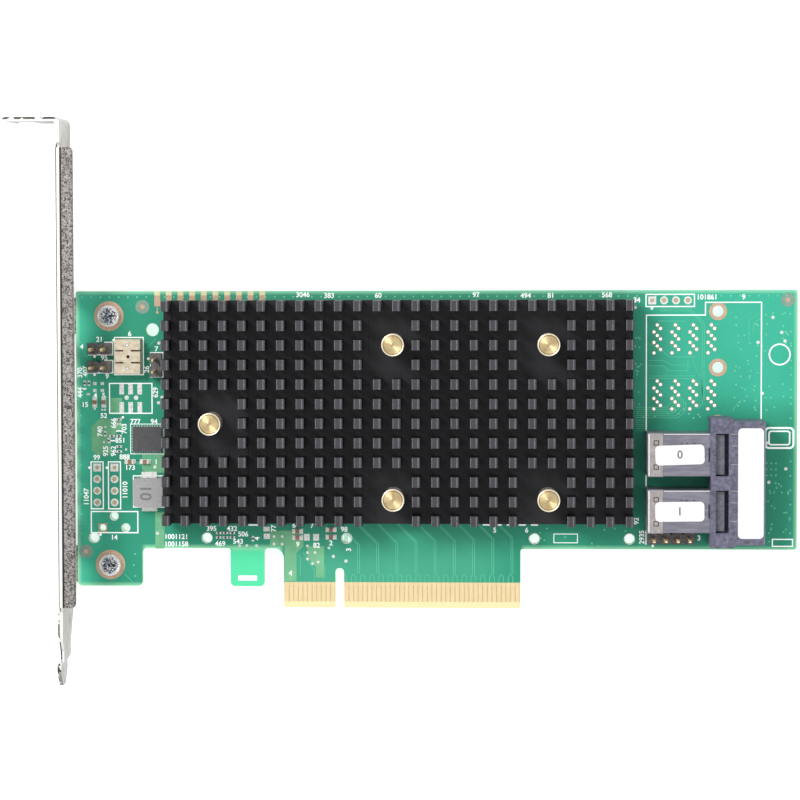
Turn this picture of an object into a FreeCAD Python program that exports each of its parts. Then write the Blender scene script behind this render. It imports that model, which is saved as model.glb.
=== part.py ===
import FreeCAD, Part
import math
import os
import types
import Sketcher
from FreeCAD import Placement, Rotation, Vector

# Raid controller card: a half-height circuit board on a full-height bracket, with a pin-fin heat sink
# held by sprung push pins and a block of two cable ports at the far end.
# Frame: X runs along the board away from the bracket, Y from the edge contacts to the top edge, and Z out
# of the component side. The origin is on the contact tab's edge, at the centre of its key notch, on the
# board's back. All sizes are millimetres.

os.makedirs("parts", exist_ok=True)
doc = FreeCAD.newDocument("raid_controller_card")

SIZES = [
    # circuit board
    ("board_thick", 1.57), ("board_length", 155.65), ("board_height", 68.9), ("key_to_left", 57.25),
    ("edge_rise", 12.95), ("leg_rise", 4.65), ("leg_width", 14.25), ("hook_offset", 16.35),
    ("hook_width", 7.45), ("tab_left", 12.15), ("tab_right", 39.15), ("key_width", 1.9),
    ("key_depth", 8.65),
    ("relief_radius", 2.2), ("corner_radius", 1.0), ("inner_radius", 0.5), ("bevel_run", 1.3),
    ("bevel_rise", 0.45), ("guide_hole", 2.0), ("guide_rise", 15.2), ("guide_a", 3.7), ("guide_b", 28.4),
    ("guide_c", 58.8), ("guide_d", 99.4), ("guide_e", 119.85), ("tooling_hole", 2.8),
    ("tooling_inset", 16.7), ("tooling_drop", 8.4), ("plated_hole", 2.36), ("plated_margin", 3.5),
    ("spare_hole", 1.5), ("spare_inset", 8.1), ("spare_rise", 19.9), ("spare_spread", 2.54),
    # pin headers on the board, and the footprints left empty
    ("jumper_inset", 5.25), ("jumper_a_drop", 12.45), ("jumper_b_drop", 16.4), ("jumper_c_drop", 16.0),
    ("jumper_c_gap", 2.0), ("service_inset", 5.3), ("service_drop", 1.9), ("empty_a_inset", 4.4),
    ("empty_b_inset", 8.2), ("empty_rise", 26.7), ("empty_c_inset", 5.1), ("empty_c_drop", 2.25),
    # edge contacts
    ("contact_pitch", 1.0), ("contact_width", 0.7), ("contact_length", 4.2), ("contact_gap", 0.1),
    ("contact_thick", 0.04), ("first_contact", 11.5), ("second_group", 1.5),
    ("left_contacts", 11), ("right_contacts", 38),
    # contact pads along the top edge
    ("pad_count", 10), ("pad_pitch", 2.54), ("pad_width", 1.27), ("pad_length", 2.1), ("pad_start", 17.8),
    # mounting bracket
    ("sheet_thick", 0.86), ("bracket_gap", 1.65), ("bracket_width", 18.42), ("bracket_below", 3.35),
    ("bracket_top", 106.3), ("bracket_tip", 16.3), ("tab_reach", 11.5), ("bend_radius", 1.3),
    ("inner_bend", 0.4), ("flange_width", 3.95), ("flange_low", 1.4), ("flange_high", 99.85),
    ("bend_relief", 1.0), ("tongue_width", 10.19), ("tongue_above", 1.45), ("tongue_start", 4.4),
    ("tongue_taper", 4.0), ("joggle", 0.7), ("joggle_at", 10.4), ("joggle_run", 1.2),
    ("tongue_corner", 3.2),
    ("notch_width", 4.42), ("notch_depth", 9.0), ("notch_from_end", 3.3),
    ("ear_width", 8.0), ("ear_reach", 12.4), ("ear_corner", 1.5), ("ear_clear", 0.5),
    ("vent_flats", 4.0), ("vent_pitch", 5.2), ("vent_rows", 3), ("vent_columns", 7),
    ("vent_low", 20.6), ("vent_high", 74.0), ("vent_high_columns", 4),
    # bracket screws
    ("screw_inset", 7.2), ("screw_low", 9.3), ("screw_drop", 5.4), ("screw_shank", 2.7),
    ("screw_clear", 0.3), ("screw_head", 4.7), ("head_height", 1.8), ("head_dome", 0.45),
    ("screw_length", 4.6), ("recess_width", 0.7), ("recess_span", 2.7), ("recess_depth", 1.0),
    ("boss_diameter", 4.4), ("boss_height", 1.0),
    # heat sink
    ("sink_left", 37.65), ("sink_to_ports", 2.95), ("sink_width", 48.2), ("sink_low", 18.75),
    ("sink_base", 2.0), ("fin_height", 6.2), ("fin_thick", 1.7), ("fin_count", 25),
    ("row_count", 12), ("row_length", 2.2), ("stub_height", 0.25), ("pocket_sink", 0.2),
    ("pocket_columns", 2), ("pocket_rows", 3),
    # push pins and springs
    ("pin_left", 39.2), ("pin_spacing", 33.1), ("pin_first", 12.0), ("pin_middle", 41.05),
    ("pin_left_drop", 0.35), ("pin_shank", 2.7), ("pin_hole", 3.1), ("pin_head", 4.8),
    ("pin_head_thick", 1.1), ("pin_above_fins", 1.4), ("barb_width", 3.5), ("barb_taper", 0.8),
    ("barb_length", 2.0), ("barb_slot", 0.7), ("barb_clear", 0.06),
    ("spring_outer", 4.7), ("spring_wire", 0.5),
    # controller chip and cache memory under the heat sink
    ("chip_side", 27.0), ("carrier_thick", 0.9), ("lid_margin", 1.5), ("lid_thick", 1.1),
    ("pad_thick", 0.25), ("memory_length", 13.3), ("memory_width", 7.5), ("memory_thick", 1.2),
    ("memory_from_pin", 11.0), ("memory_pitch", 11.0), ("memory_offset", 11.5),
    # double port
    ("port_right", 7.45), ("port_low", 17.4), ("port_width", 9.1), ("port_pitch", 12.1),
    ("shield_length", 13.3), ("shield_height", 8.9), ("shield_thick", 0.25), ("lip_length", 3.3),
    ("lip_rise", 0.15), ("stamp_side", 1.2), ("stamp_inset", 0.9), ("stamp_depth", 0.12),
    ("housing_height", 9.5), ("collar_length", 4.75), ("collar_margin", 3.2), ("nose_length", 6.8),
    ("nose_step", 0.65), ("cavity_height", 6.8), ("cavity_floor", 1.5), ("latch_start", 1.05),
    ("latch_length", 2.75), ("groove_width", 0.25), ("groove_depth", 0.2), ("groove_inset", 2.45),
    ("housing_corner", 0.4), ("peg_count", 3), ("peg_inset", 2.05), ("peg_clear", 0.25), ("peg_below", 0.7),
    ("carrier_clear", 0.05), ("carrier_front", 3.0), ("slot_height", 1.5), ("slot_spacing", 3.2),
    ("slot_side", 0.6), ("terminal_count", 9), ("terminal_pitch", 0.8), ("terminal_width", 0.35),
    ("terminal_thick", 0.2), ("terminal_length", 5.0),
    # labels
    ("label_thick", 0.1), ("label_length", 10.4), ("label_width", 4.2), ("label_corner", 0.9),
    ("long_label_length", 23.5), ("long_label_width", 5.4),
    # pin headers
    ("pin_pitch", 2.54), ("header_width", 2.5), ("header_high", 2.54), ("header_notch", 0.45),
    ("post_side", 0.64), ("post_above", 8.4), ("post_below", 1.5), ("post_clear", 0.06), ("post_hole", 1.0),
    # cream power socket
    ("socket_inset", 11.55), ("socket_drop", 14.1), ("socket_length", 7.4), ("socket_width", 5.6),
    ("socket_height", 3.4), ("socket_pin_spacing", 5.1),
    ("socket_slot_gap", 2.6), ("socket_slot", 0.35), ("socket_slot_reach", 2.0), ("socket_slot_deep", 2.4),
    ("socket_pin_side", 0.5),
    # power inductor
    ("coil_gap", 0.55), ("coil_rise", 3.45), ("coil_width", 6.4), ("coil_length", 6.2),
    ("coil_height", 3.0), ("coil_bevel", 0.35),
    ("strap_width", 3.4), ("strap_reach", 1.2), ("strap_thick", 0.25), ("strap_rise", 1.6),
    # leadless chip
    ("flat_chip_gap", 1.05), ("flat_chip_rise", 15.3), ("flat_chip_length", 6.2),
    ("flat_chip_width", 5.4), ("flat_chip_thick", 1.0),
    # capacitors and resistors
    ("cap_length", 1.6), ("cap_width", 0.8), ("cap_height", 0.8), ("cap_end", 0.35),
    ("res_length", 0.8), ("res_width", 0.4), ("res_height", 0.3), ("res_end", 0.2),
]

# Layout of the small pieces: distance from the board's left edge, height above the tab's edge or, where it
# is negative, above the board's top edge, and turn
CAPACITORS = [(4.0, -24.1, 90), (6.0, -24.1, 90), (11.65, 31.8, 0), (14.95, 31.8, 0),
              (48.1, 16.7, 0), (48.1, 15.3, 0), (55.4, 17.05, 0), (55.4, 15.45, 0)]
RESISTORS = [(1.85, -20.0, 90), (2.8, -20.0, 90), (6.25, -31.0, 90), (7.05, -32.5, 90), (7.75, -31.55, 0),
             (9.25, -27.9, 0), (9.25, -31.5, 0), (9.3, -33.8, 0), (9.3, -34.9, 0), (38.4, 15.05, 90),
             (30.9, 16.3, 0), (32.4, 16.3, 0), (33.9, 16.3, 0), (30.9, 15.3, 0), (32.4, 15.3, 0),
             (33.9, 15.3, 0)]

sheet = doc.addObject("Spreadsheet::Sheet", "sizes")
for row, (alias, amount) in enumerate(SIZES, start=1):
    sheet.set(f"A{row}", alias.replace("_", " "))
    sheet.set(f"B{row}", str(amount))
    sheet.setAlias(f"B{row}", alias)
doc.recompute()


class Size(float):
    """A number that keeps the sheet expression it comes from, so that a feature can be bound to it."""

    def __new__(cls, amount, text=None):
        number = super().__new__(cls, amount)
        number.text = text or f"({float(amount):.6g})"
        return number

    def joined(self, sign, other, amount, swapped=False):
        words = [self.text, Size(other).text if not isinstance(other, Size) else other.text]
        if swapped:
            words.reverse()
        return Size(amount, f"({words[0]} {sign} {words[1]})")

    def __add__(self, other):
        return self.joined("+", other, float(self) + float(other))

    def __radd__(self, other):
        return self.joined("+", other, float(other) + float(self), swapped=True)

    def __sub__(self, other):
        return self.joined("-", other, float(self) - float(other))

    def __rsub__(self, other):
        return self.joined("-", other, float(other) - float(self), swapped=True)

    def __mul__(self, other):
        return self.joined("*", other, float(self) * float(other))

    def __rmul__(self, other):
        return self.joined("*", other, float(other) * float(self), swapped=True)

    def __truediv__(self, other):
        return self.joined("/", other, float(self) / float(other))

    def __neg__(self):
        return Size(-float(self), f"(0 - {self.text})")


s = types.SimpleNamespace(**{alias: Size(sheet.get(alias), f"sizes.{alias}") for alias, _ in SIZES})
parts = []


# --- helpers -------------------------------------------------------------------------------------

def bind(feature, prop, amount):
    """Ties one property to the sheet, or sets it where it is a plain number."""
    feature.setExpression(prop, Size(amount).text if not isinstance(amount, Size) else amount.text)


def keep(feature):
    """Marks a feature as a sub-part: its label names the node."""
    parts.append(feature)
    return feature


def new_body(name):
    body = doc.addObject("PartDesign::Body", name)
    body.Label = name
    doc.recompute()
    return body


def origin_feature(body, role):
    return next(f for f in body.Origin.OriginFeatures if f.Role == role)


def new_sketch(body, role, name, offset=0):
    """A sketch on one of the body's own planes, moved along the plane's normal (-Y for the XZ plane)."""
    sketch = body.newObject("Sketcher::SketchObject", name)
    sketch.AttachmentSupport = [(origin_feature(body, role), "")]
    sketch.MapMode = "FlatFace"
    bind(sketch, "AttachmentOffset.Base.z", offset)
    return sketch


def fixed_point(sketch, geometry, vertex, place):
    """Two constraints that hold a point at its place, and the sizes that they are bound to."""
    return [(Sketcher.Constraint(kind, -1, 1, geometry, vertex, float(amount)), amount)
            for kind, amount in zip(("DistanceX", "DistanceY"), place)]


def constrain(sketch, pairs):
    """Adds the constraints in one go, then binds those that carry a size."""
    first = sketch.ConstraintCount
    sketch.addConstraint([constraint for constraint, _ in pairs])
    for index, (_, amount) in enumerate(pairs, start=first):
        if isinstance(amount, Size):
            sketch.setExpression(f"Constraints[{index}]", amount.text)


def draw_polygon(sketch, corners):
    first, count = sketch.GeometryCount, len(corners)
    points = [Vector(float(across), float(up), 0) for across, up in corners]
    sketch.addGeometry([Part.LineSegment(points[i], points[(i + 1) % count]) for i in range(count)], False)
    pairs = [(Sketcher.Constraint("Coincident", first + i, 2, first + (i + 1) % count, 1), None)
             for i in range(count)]
    for i, corner in enumerate(corners):
        pairs += fixed_point(sketch, first + i, 1, corner)
    constrain(sketch, pairs)


def draw_rectangle(sketch, left, low, right, high):
    draw_polygon(sketch, [(left, low), (right, low), (right, high), (left, high)])


def draw_circle(sketch, centre, diameter):
    geometry = sketch.GeometryCount
    middle = Vector(float(centre[0]), float(centre[1]), 0)
    sketch.addGeometry(Part.Circle(middle, Vector(0, 0, 1), float(diameter) / 2), False)
    pairs = fixed_point(sketch, geometry, 3, centre)
    pairs.append((Sketcher.Constraint("Diameter", geometry, float(diameter)), diameter))
    constrain(sketch, pairs)


def draw_octagon(sketch, centre, flats):
    """A small round hole or tube drawn with eight sides, which keeps the mesh light."""
    half, corner = flats / 2, flats / (2 + math.sqrt(8))
    quarter = [(half, corner), (corner, half)]
    steps = quarter + [(-x, y) for x, y in quarter[::-1]] + [(-x, -y) for x, y in quarter]
    steps += [(x, -y) for x, y in quarter[::-1]]
    draw_polygon(sketch, [(centre[0] + x, centre[1] + y) for x, y in steps])


def draw_square(sketch, centre, side):
    half = side / 2
    draw_rectangle(sketch, centre[0] - half, centre[1] - half, centre[0] + half, centre[1] + half)


def pad(body, sketch, length, name, reverse=False):
    feature = body.newObject("PartDesign::Pad", name)
    feature.Profile = sketch
    feature.Reversed = reverse
    bind(feature, "Length", length)
    body.Tip = feature
    doc.recompute()
    return feature


def pocket(body, sketch, length, name, reverse=False):
    """Cuts, and makes sure that the cut took something away."""
    before = body.Shape.Volume
    feature = body.newObject("PartDesign::Pocket", name)
    feature.Profile = sketch
    feature.Reversed = reverse
    bind(feature, "Length", length)
    body.Tip = feature
    doc.recompute()
    if not feature.Shape.Volume < before:
        raise RuntimeError(f"{body.Label}: {name} cuts nothing")
    return feature


def repeat(body, feature, axis, total, count, name):
    """A row of copies of a feature, spread evenly over a total length."""
    pattern = body.newObject("PartDesign::LinearPattern", name)
    pattern.Originals = [feature]
    pattern.Direction = (origin_feature(body, axis), [""])
    bind(pattern, "Length", total)
    bind(pattern, "Occurrences", count)
    body.Tip = pattern
    doc.recompute()
    return pattern


def edges_at(shape, points, axis, span=None, within=0.02):
    """Names of the edges parallel to an axis (0, 1 or 2) that pass through the given points across it.

    A span keeps only the edges that lie between its two places along the axis.
    """
    across = [i for i in range(3) if i != axis]
    names = []
    for index, edge in enumerate(shape.Edges, start=1):
        ends = [vertex.Point for vertex in edge.Vertexes]
        if len(ends) != 2 or max(abs(ends[0][i] - ends[1][i]) for i in across) > within:
            continue
        if span and not all(float(span[0]) - within < end[axis] < float(span[1]) + within for end in ends):
            continue
        if any(all(abs(ends[0][i] - float(place)) < within for i, place in zip(across, point))
               for point in points):
            names.append(f"Edge{index}")
    if not names:
        raise RuntimeError(f"no edge at {[tuple(map(float, p)) for p in points]}")
    return names


def dress(body, kind, size_name, points, axis, amount, name, span=None):
    """A Fillet or a Chamfer on the edges that run along an axis through the given points."""
    base = body.Tip
    feature = body.newObject(f"PartDesign::{kind}", name)
    feature.Base = (base, edges_at(base.Shape, points, axis, span))
    bind(feature, size_name, amount)
    body.Tip = feature
    doc.recompute()
    return feature


def fillet(body, points, axis, radius, name, span=None):
    return dress(body, "Fillet", "Radius", points, axis, radius, name, span)


def chamfer(body, points, axis, size, name):
    return dress(body, "Chamfer", "Size", points, axis, size, name)


def turned_body(name, profile):
    """A body turned about Z from a profile of (radius, height) points."""
    body = new_body(name)
    sketch = new_sketch(body, "XZ_Plane", f"{name}_profile")
    draw_polygon(sketch, profile)
    turn = body.newObject("PartDesign::Revolution", f"{name}_turn")
    turn.Profile = sketch
    turn.ReferenceAxis = (origin_feature(body, "Z_Axis"), [""])
    turn.Angle = 360
    body.Tip = turn
    doc.recompute()
    return body


def group(name, shapes):
    """Separate solids of one kind that share a node."""
    feature = doc.addObject("Part::Feature", name)
    feature.Label = name
    feature.Shape = Part.makeCompound(shapes)
    feature.Placement = Placement()
    return keep(feature)


def copies(name, model, places):
    """One node that holds a copy of a model at each place."""
    return group(name, [model.Shape.translated(Vector(*map(float, place))) for place in places])


def block(name, corner, sides):
    """A box bound to the sheet by its corner and its three sides."""
    feature = doc.addObject("Part::Box", name)
    feature.Label = name
    for prop, amount in zip(("Placement.Base.x", "Placement.Base.y", "Placement.Base.z"), corner):
        bind(feature, prop, amount)
    for prop, amount in zip(("Length", "Width", "Height"), sides):
        bind(feature, prop, amount)
    return feature


def solid_box(corner, sides):
    return Part.makeBox(*map(float, sides), Vector(*map(float, corner)))


# --- places that several sub-parts share ---------------------------------------------------------

board_left = -s.key_to_left
board_right = board_left + s.board_length
board_top = s.board_thick
plate_inner = board_left - s.bracket_gap
plate_outer = plate_inner - s.sheet_thick
bracket_low = -s.bracket_below
bracket_high = bracket_low + s.bracket_width
screw_x = board_left + s.screw_inset
screw_places = [(screw_x, s.screw_low), (screw_x, s.board_height - s.screw_drop)]

chip_top = board_top + s.carrier_thick + s.lid_thick
sink_under = chip_top + s.pad_thick
sink_floor = sink_under + s.sink_base
fin_top = sink_floor + s.fin_height
row_pitch = (s.sink_width - s.row_length) / (s.row_count - 1)
pocket_floor = sink_floor - s.pocket_sink

half_spacing = s.pin_spacing / 2
push_pin_places = [
    (s.pin_first - s.pin_left, s.pin_middle - s.pin_left_drop),
    (s.pin_first, s.pin_middle - half_spacing),
    (s.pin_first, s.pin_middle + half_spacing),
    (s.pin_first + s.pin_spacing, s.pin_middle - half_spacing),
    (s.pin_first + s.pin_spacing, s.pin_middle + half_spacing),
]
chip_middle = (s.pin_first + half_spacing, s.pin_middle)

nose_end = board_right - s.port_right
collar_end = nose_end - s.nose_length
collar_start = collar_end - s.collar_length
shield_start = collar_start - s.shield_length
shield_top = board_top + s.shield_height
housing_top = board_top + s.housing_height
sink_length = shield_start - s.sink_to_ports + s.sink_left
fin_pitch = (sink_length - s.fin_thick) / (s.fin_count - 1)
port_lows = [s.port_low, s.port_low + s.port_pitch]
port_high = s.port_low + s.port_pitch + s.port_width
plated_low = s.port_low + (s.port_width - s.port_pitch) / 2
plated_count = int((s.board_height - s.plated_margin - plated_low) / s.port_pitch) + 1
plated_places = [(collar_start + s.peg_inset, plated_low + s.port_pitch * i) for i in range(plated_count)]

# --- circuit board -------------------------------------------------------------------------------

jumper_x = board_left + s.jumper_inset
HEADERS = [
    # name, place of the middle, number of posts, whether the row runs along Y
    ("jumper_header_a", (jumper_x, s.board_height - s.jumper_a_drop), 2, False),
    ("jumper_header_b", (jumper_x, s.board_height - s.jumper_b_drop), 2, False),
    ("jumper_header_c", (-s.sink_left - s.jumper_c_gap, s.board_height - s.jumper_c_drop), 2, True),
    ("service_header", (shield_start + s.service_inset, s.port_low - s.service_drop), 4, False),
]
EMPTY_FOOTPRINTS = [
    ((board_left + s.empty_a_inset, s.empty_rise), 4, True),
    ((board_left + s.empty_b_inset, s.empty_rise), 4, True),
    ((shield_start + s.empty_c_inset, s.board_height - s.empty_c_drop), 4, False),
]
socket_middle = (board_left + s.socket_inset, s.board_height - s.socket_drop)


def post_places(middle, count, along_y):
    """Centres of a row of posts, one pitch apart."""
    steps = [s.pin_pitch * (i - (count - 1) / 2) for i in range(int(count))]
    return [(middle[0] + (0 if along_y else step), middle[1] + (step if along_y else 0)) for step in steps]


def socket_pin_places():
    return [(socket_middle[0], socket_middle[1] + side * s.socket_pin_spacing / 2) for side in (-1, 1)]


def build_board():
    body = new_body("circuit_board")
    leg_right = board_left + s.leg_width
    hook_right = -s.hook_offset
    hook_left = hook_right - s.hook_width
    half_key = s.key_width / 2
    outline = new_sketch(body, "XY_Plane", "board_outline")
    leg = [(board_left, s.leg_rise), (leg_right, s.leg_rise), (leg_right, s.edge_rise)]
    hook = [(hook_left, s.edge_rise), (hook_left, s.leg_rise), (hook_right, s.leg_rise),
            (hook_right, s.edge_rise)]
    key = [(-half_key, 0), (-half_key, s.key_depth), (half_key, s.key_depth), (half_key, 0)]
    tab_start, tab_end = (-s.tab_left, s.edge_rise), (s.tab_right, s.edge_rise)
    ends = [(board_right, s.edge_rise), (board_right, s.board_height), (board_left, s.board_height)]
    tab = [tab_start, (-s.tab_left, 0)] + key + [(s.tab_right, 0), tab_end]
    draw_polygon(outline, leg + hook + tab + ends)
    pad(body, outline, s.board_thick, "board_sheet")
    fillet(body, leg + hook[1:], 2, s.corner_radius, "leg_corners")
    fillet(body, [tab_start], 2, s.relief_radius, "tab_relief")
    fillet(body, ends + [tab_end, hook[0]], 2, s.inner_radius, "small_corners")
    key_round = half_key - s.contact_gap
    fillet(body, [(-half_key, s.key_depth), (half_key, s.key_depth)], 2, key_round, "key_round")

    bevel = new_sketch(body, "YZ_Plane", "tab_bevel_outline", s.tab_right)
    low, high = s.bevel_rise, s.board_thick - s.bevel_rise
    draw_polygon(bevel, [(0, 0), (s.bevel_run, 0), (0, low)])
    draw_polygon(bevel, [(0, s.board_thick), (0, high), (s.bevel_run, s.board_thick)])
    pocket(body, bevel, s.tab_right + s.tab_left, "tab_bevel")

    holes = new_sketch(body, "XY_Plane", "screw_and_peg_holes", s.board_thick)
    for place in screw_places:
        draw_circle(holes, place, s.screw_shank + s.screw_clear)
    draw_circle(holes, (board_left + s.tooling_inset, s.board_height - s.tooling_drop), s.tooling_hole)
    for place in plated_places:
        draw_circle(holes, place, s.plated_hole)
    pocket(body, holes, s.board_thick, "round_drilling")
    sink_holes = new_sketch(body, "XY_Plane", "push_pin_holes", s.board_thick)
    for place in push_pin_places:
        draw_octagon(sink_holes, place, s.pin_hole)
    pocket(body, sink_holes, s.board_thick, "push_pin_drilling")
    guides = new_sketch(body, "XY_Plane", "guide_and_spare_holes", s.board_thick)
    for inset in (s.guide_a, s.guide_b, s.guide_c, s.guide_d, s.guide_e):
        draw_octagon(guides, (board_left + inset, s.guide_rise), s.guide_hole)
    for side in (-1, 0, 1):
        across = board_left + s.spare_inset + s.spare_spread * side
        draw_octagon(guides, (across, s.spare_rise - s.spare_spread * abs(side)), s.spare_hole)
    pocket(body, guides, s.board_thick, "guide_drilling")
    for row, (middle, count, along) in enumerate(EMPTY_FOOTPRINTS, start=1):
        spare = new_sketch(body, "XY_Plane", f"empty_row_{row}", s.board_thick)
        for place in post_places(middle, count, along):
            draw_octagon(spare, place, s.post_hole)
        pocket(body, spare, s.board_thick, f"empty_row_{row}_drilling")
    # solder fills each pin's hole, so what stays open is the pin's own section
    filled = new_sketch(body, "XY_Plane", "filled_holes", s.board_thick)
    for _, middle, count, along in HEADERS:
        for place in post_places(middle, count, along):
            draw_square(filled, place, s.post_side + s.post_clear)
    for place in socket_pin_places():
        draw_square(filled, place, s.socket_pin_side + s.post_clear)
    pocket(body, filled, s.board_thick, "pin_openings")
    return keep(body)


def contact_centres():
    left = [-s.first_contact + s.contact_pitch * i for i in range(int(s.left_contacts))]
    return left + [s.second_group + s.contact_pitch * i for i in range(int(s.right_contacts))]


def build_contacts():
    """Gold-plated contacts on both faces of the tab, and the row of pads along the top edge."""
    sides = (s.contact_width, s.contact_length, s.contact_thick)
    for name, height in (("edge_contacts_front", board_top), ("edge_contacts_back", -s.contact_thick)):
        group(name, [solid_box((centre - s.contact_width / 2, s.bevel_run + s.contact_gap, height), sides)
                     for centre in contact_centres()])
    pads = []
    for i in range(int(s.pad_count)):
        centre = board_left + s.pad_start + s.pad_pitch * i
        corner = (centre - s.pad_width / 2, s.board_height - s.contact_gap - s.pad_length, board_top)
        pads.append(solid_box(corner, (s.pad_width, s.pad_length, s.contact_thick)))
    group("top_edge_pads", pads)


# --- mounting bracket ----------------------------------------------------------------------------

ROW_STEP = math.sqrt(3) / 2


def hexagon(middle, flats):
    """Corners of a hexagon that stands on a corner."""
    half, long, short = flats / 2, flats / (ROW_STEP * 2), flats / (ROW_STEP * 4)
    steps = [(half, -short), (half, short), (0, long), (-half, short), (-half, -short), (0, -long)]
    return [(middle[0] + across, middle[1] + up) for across, up in steps]


def build_bracket():
    """One folded sheet: side view first, then cut to its outline, then the flange, ears and vents."""
    body = new_body("mounting_bracket")
    tab_end = plate_inner - s.tab_reach - s.sheet_thick
    tip = -s.bracket_tip
    joggle_top, joggle_low = -s.joggle_at, -(s.joggle_at + s.joggle_run)
    tab_under = s.bracket_top - s.sheet_thick
    side = new_sketch(body, "XY_Plane", "side_view", bracket_low)
    draw_polygon(side, [
        (tab_end, s.bracket_top), (tab_end, tab_under), (plate_outer, tab_under), (plate_outer, joggle_top),
        (plate_outer - s.joggle, joggle_low), (plate_outer - s.joggle, tip), (plate_inner - s.joggle, tip),
        (plate_inner - s.joggle, joggle_low), (plate_inner, joggle_top), (plate_inner, s.bracket_top)])
    pad(body, side, s.bracket_width, "folded_strip")
    fillet(body, [(plate_outer, tab_under)], 2, s.inner_bend, "tab_bend_inside")
    fillet(body, [(plate_inner, s.bracket_top)], 2, s.inner_bend + s.sheet_thick, "tab_bend_outside")

    # tongue: both edges step in to the width that enters the chassis slot
    tongue_low = bracket_low + s.tongue_above + s.bracket_below
    tongue_high = tongue_low + s.tongue_width
    start, narrow = -s.tongue_start, -(s.tongue_start + s.tongue_taper)
    past = tip - s.sheet_thick
    trim = new_sketch(body, "YZ_Plane", "tongue_trim", plate_inner + s.sheet_thick)
    nip = s.tongue_corner
    for begin, edge, beyond, inner, turn in (
            (start, bracket_high, bracket_high + s.sheet_thick, tongue_high, tongue_high - nip),
            (start + s.tongue_taper, bracket_low, bracket_low - s.sheet_thick, tongue_low, tongue_low + nip)):
        draw_polygon(trim, [(begin, beyond), (begin, edge), (narrow, inner), (tip + nip, inner), (tip, turn),
                            (past, turn), (past, beyond)])
    pocket(body, trim, s.joggle + s.sheet_thick * 3, "tongue_outline")

    # open notch in the tab for the chassis screw
    notch = new_sketch(body, "XZ_Plane", "screw_notch_outline", -s.bracket_top)
    middle = tab_end + s.notch_from_end
    half = s.notch_width / 2
    notch_end = bracket_low + s.notch_depth - half
    draw_rectangle(notch, middle - half, bracket_low - half, middle + half, notch_end)
    pocket(body, notch, s.sheet_thick, "screw_notch", reverse=True)
    end = new_sketch(body, "XZ_Plane", "screw_notch_end", -s.bracket_top)
    draw_circle(end, (middle, notch_end), s.notch_width)
    pocket(body, end, s.sheet_thick, "screw_notch_round", reverse=True)
    fillet(body, [(tab_end, bracket_low), (tab_end, bracket_high)], 1, s.corner_radius, "tab_corners")

    # side flange along the long edge, with a bend relief at each end
    relief = new_sketch(body, "YZ_Plane", "bend_relief_outline", plate_inner)
    relief_depth = s.bend_radius + s.sheet_thick
    past = bracket_high + s.sheet_thick
    for low in (s.flange_low - s.bend_relief, s.flange_high):
        draw_rectangle(relief, low, bracket_high - relief_depth, low + s.bend_relief, past)
    pocket(body, relief, s.sheet_thick, "bend_reliefs")
    flange = new_sketch(body, "XZ_Plane", "flange_section", -s.flange_high)
    flange_tip = plate_outer + s.flange_width
    flange_under = bracket_high - s.sheet_thick
    draw_rectangle(flange, plate_inner, flange_under, flange_tip, bracket_high)
    pad(body, flange, s.flange_high - s.flange_low, "side_flange")
    ends = [(flange_tip, s.flange_low), (flange_tip, s.flange_high)]
    fillet(body, ends, 2, s.corner_radius, "flange_corners")
    fillet(body, [(plate_outer, bracket_high)], 1, s.inner_bend + s.sheet_thick, "flange_bend_outside",
           span=(s.flange_low, s.flange_high))
    fillet(body, [(plate_inner, flange_under)], 1, s.inner_bend, "flange_bend_inside")

    # ears lanced out of the plate, lying against the back of the board
    half_ear = s.ear_width / 2
    ear_tip = plate_inner + s.ear_reach
    windows = new_sketch(body, "YZ_Plane", "ear_windows_outline", plate_inner)
    for _, up in screw_places:
        draw_rectangle(windows, up - half_ear - s.ear_clear, 0, up + half_ear + s.ear_clear, s.ear_reach)
    pocket(body, windows, s.sheet_thick, "ear_windows")
    ears = new_sketch(body, "XY_Plane", "ears_outline", 0)
    for _, up in screw_places:
        draw_rectangle(ears, plate_inner, up - half_ear, ear_tip, up + half_ear)
    pad(body, ears, s.sheet_thick, "ears", reverse=True)
    fillet(body, [(ear_tip, up + side * half_ear) for _, up in screw_places for side in (-1, 1)], 2,
           s.ear_corner, "ear_corners")
    fillet(body, [(plate_inner, -s.sheet_thick)], 1, s.inner_bend, "ear_bend_inside")
    bosses = new_sketch(body, "XY_Plane", "thread_bosses_outline", -s.sheet_thick)
    for place in screw_places:
        draw_circle(bosses, place, s.boss_diameter)
    pad(body, bosses, s.boss_height, "thread_bosses", reverse=True)
    threads = new_sketch(body, "XY_Plane", "thread_holes_outline", 0)
    for place in screw_places:
        draw_circle(threads, place, s.screw_shank)
    pocket(body, threads, s.sheet_thick + s.boss_height, "thread_holes")

    # hexagonal vents in two fields, each a column of three repeated along the plate
    middle_height = (bracket_low + bracket_high) / 2
    fields = (("low", s.vent_low, s.vent_columns), ("high", s.vent_high, s.vent_high_columns))
    for field, low, columns in fields:
        column = new_sketch(body, "YZ_Plane", f"vents_{field}_outline", plate_inner)
        for row in range(int(s.vent_rows)):
            shift = s.vent_pitch / 2 if row % 2 else 0
            rise = s.vent_pitch * ROW_STEP * (row - (s.vent_rows - 1) / 2)
            draw_polygon(column, hexagon((low + shift, middle_height + rise), s.vent_flats))
        first = pocket(body, column, s.sheet_thick, f"vents_{field}")
        repeat(body, first, "Y_Axis", s.vent_pitch * (columns - 1), columns, f"vents_{field}_row")
    return keep(body)


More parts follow.
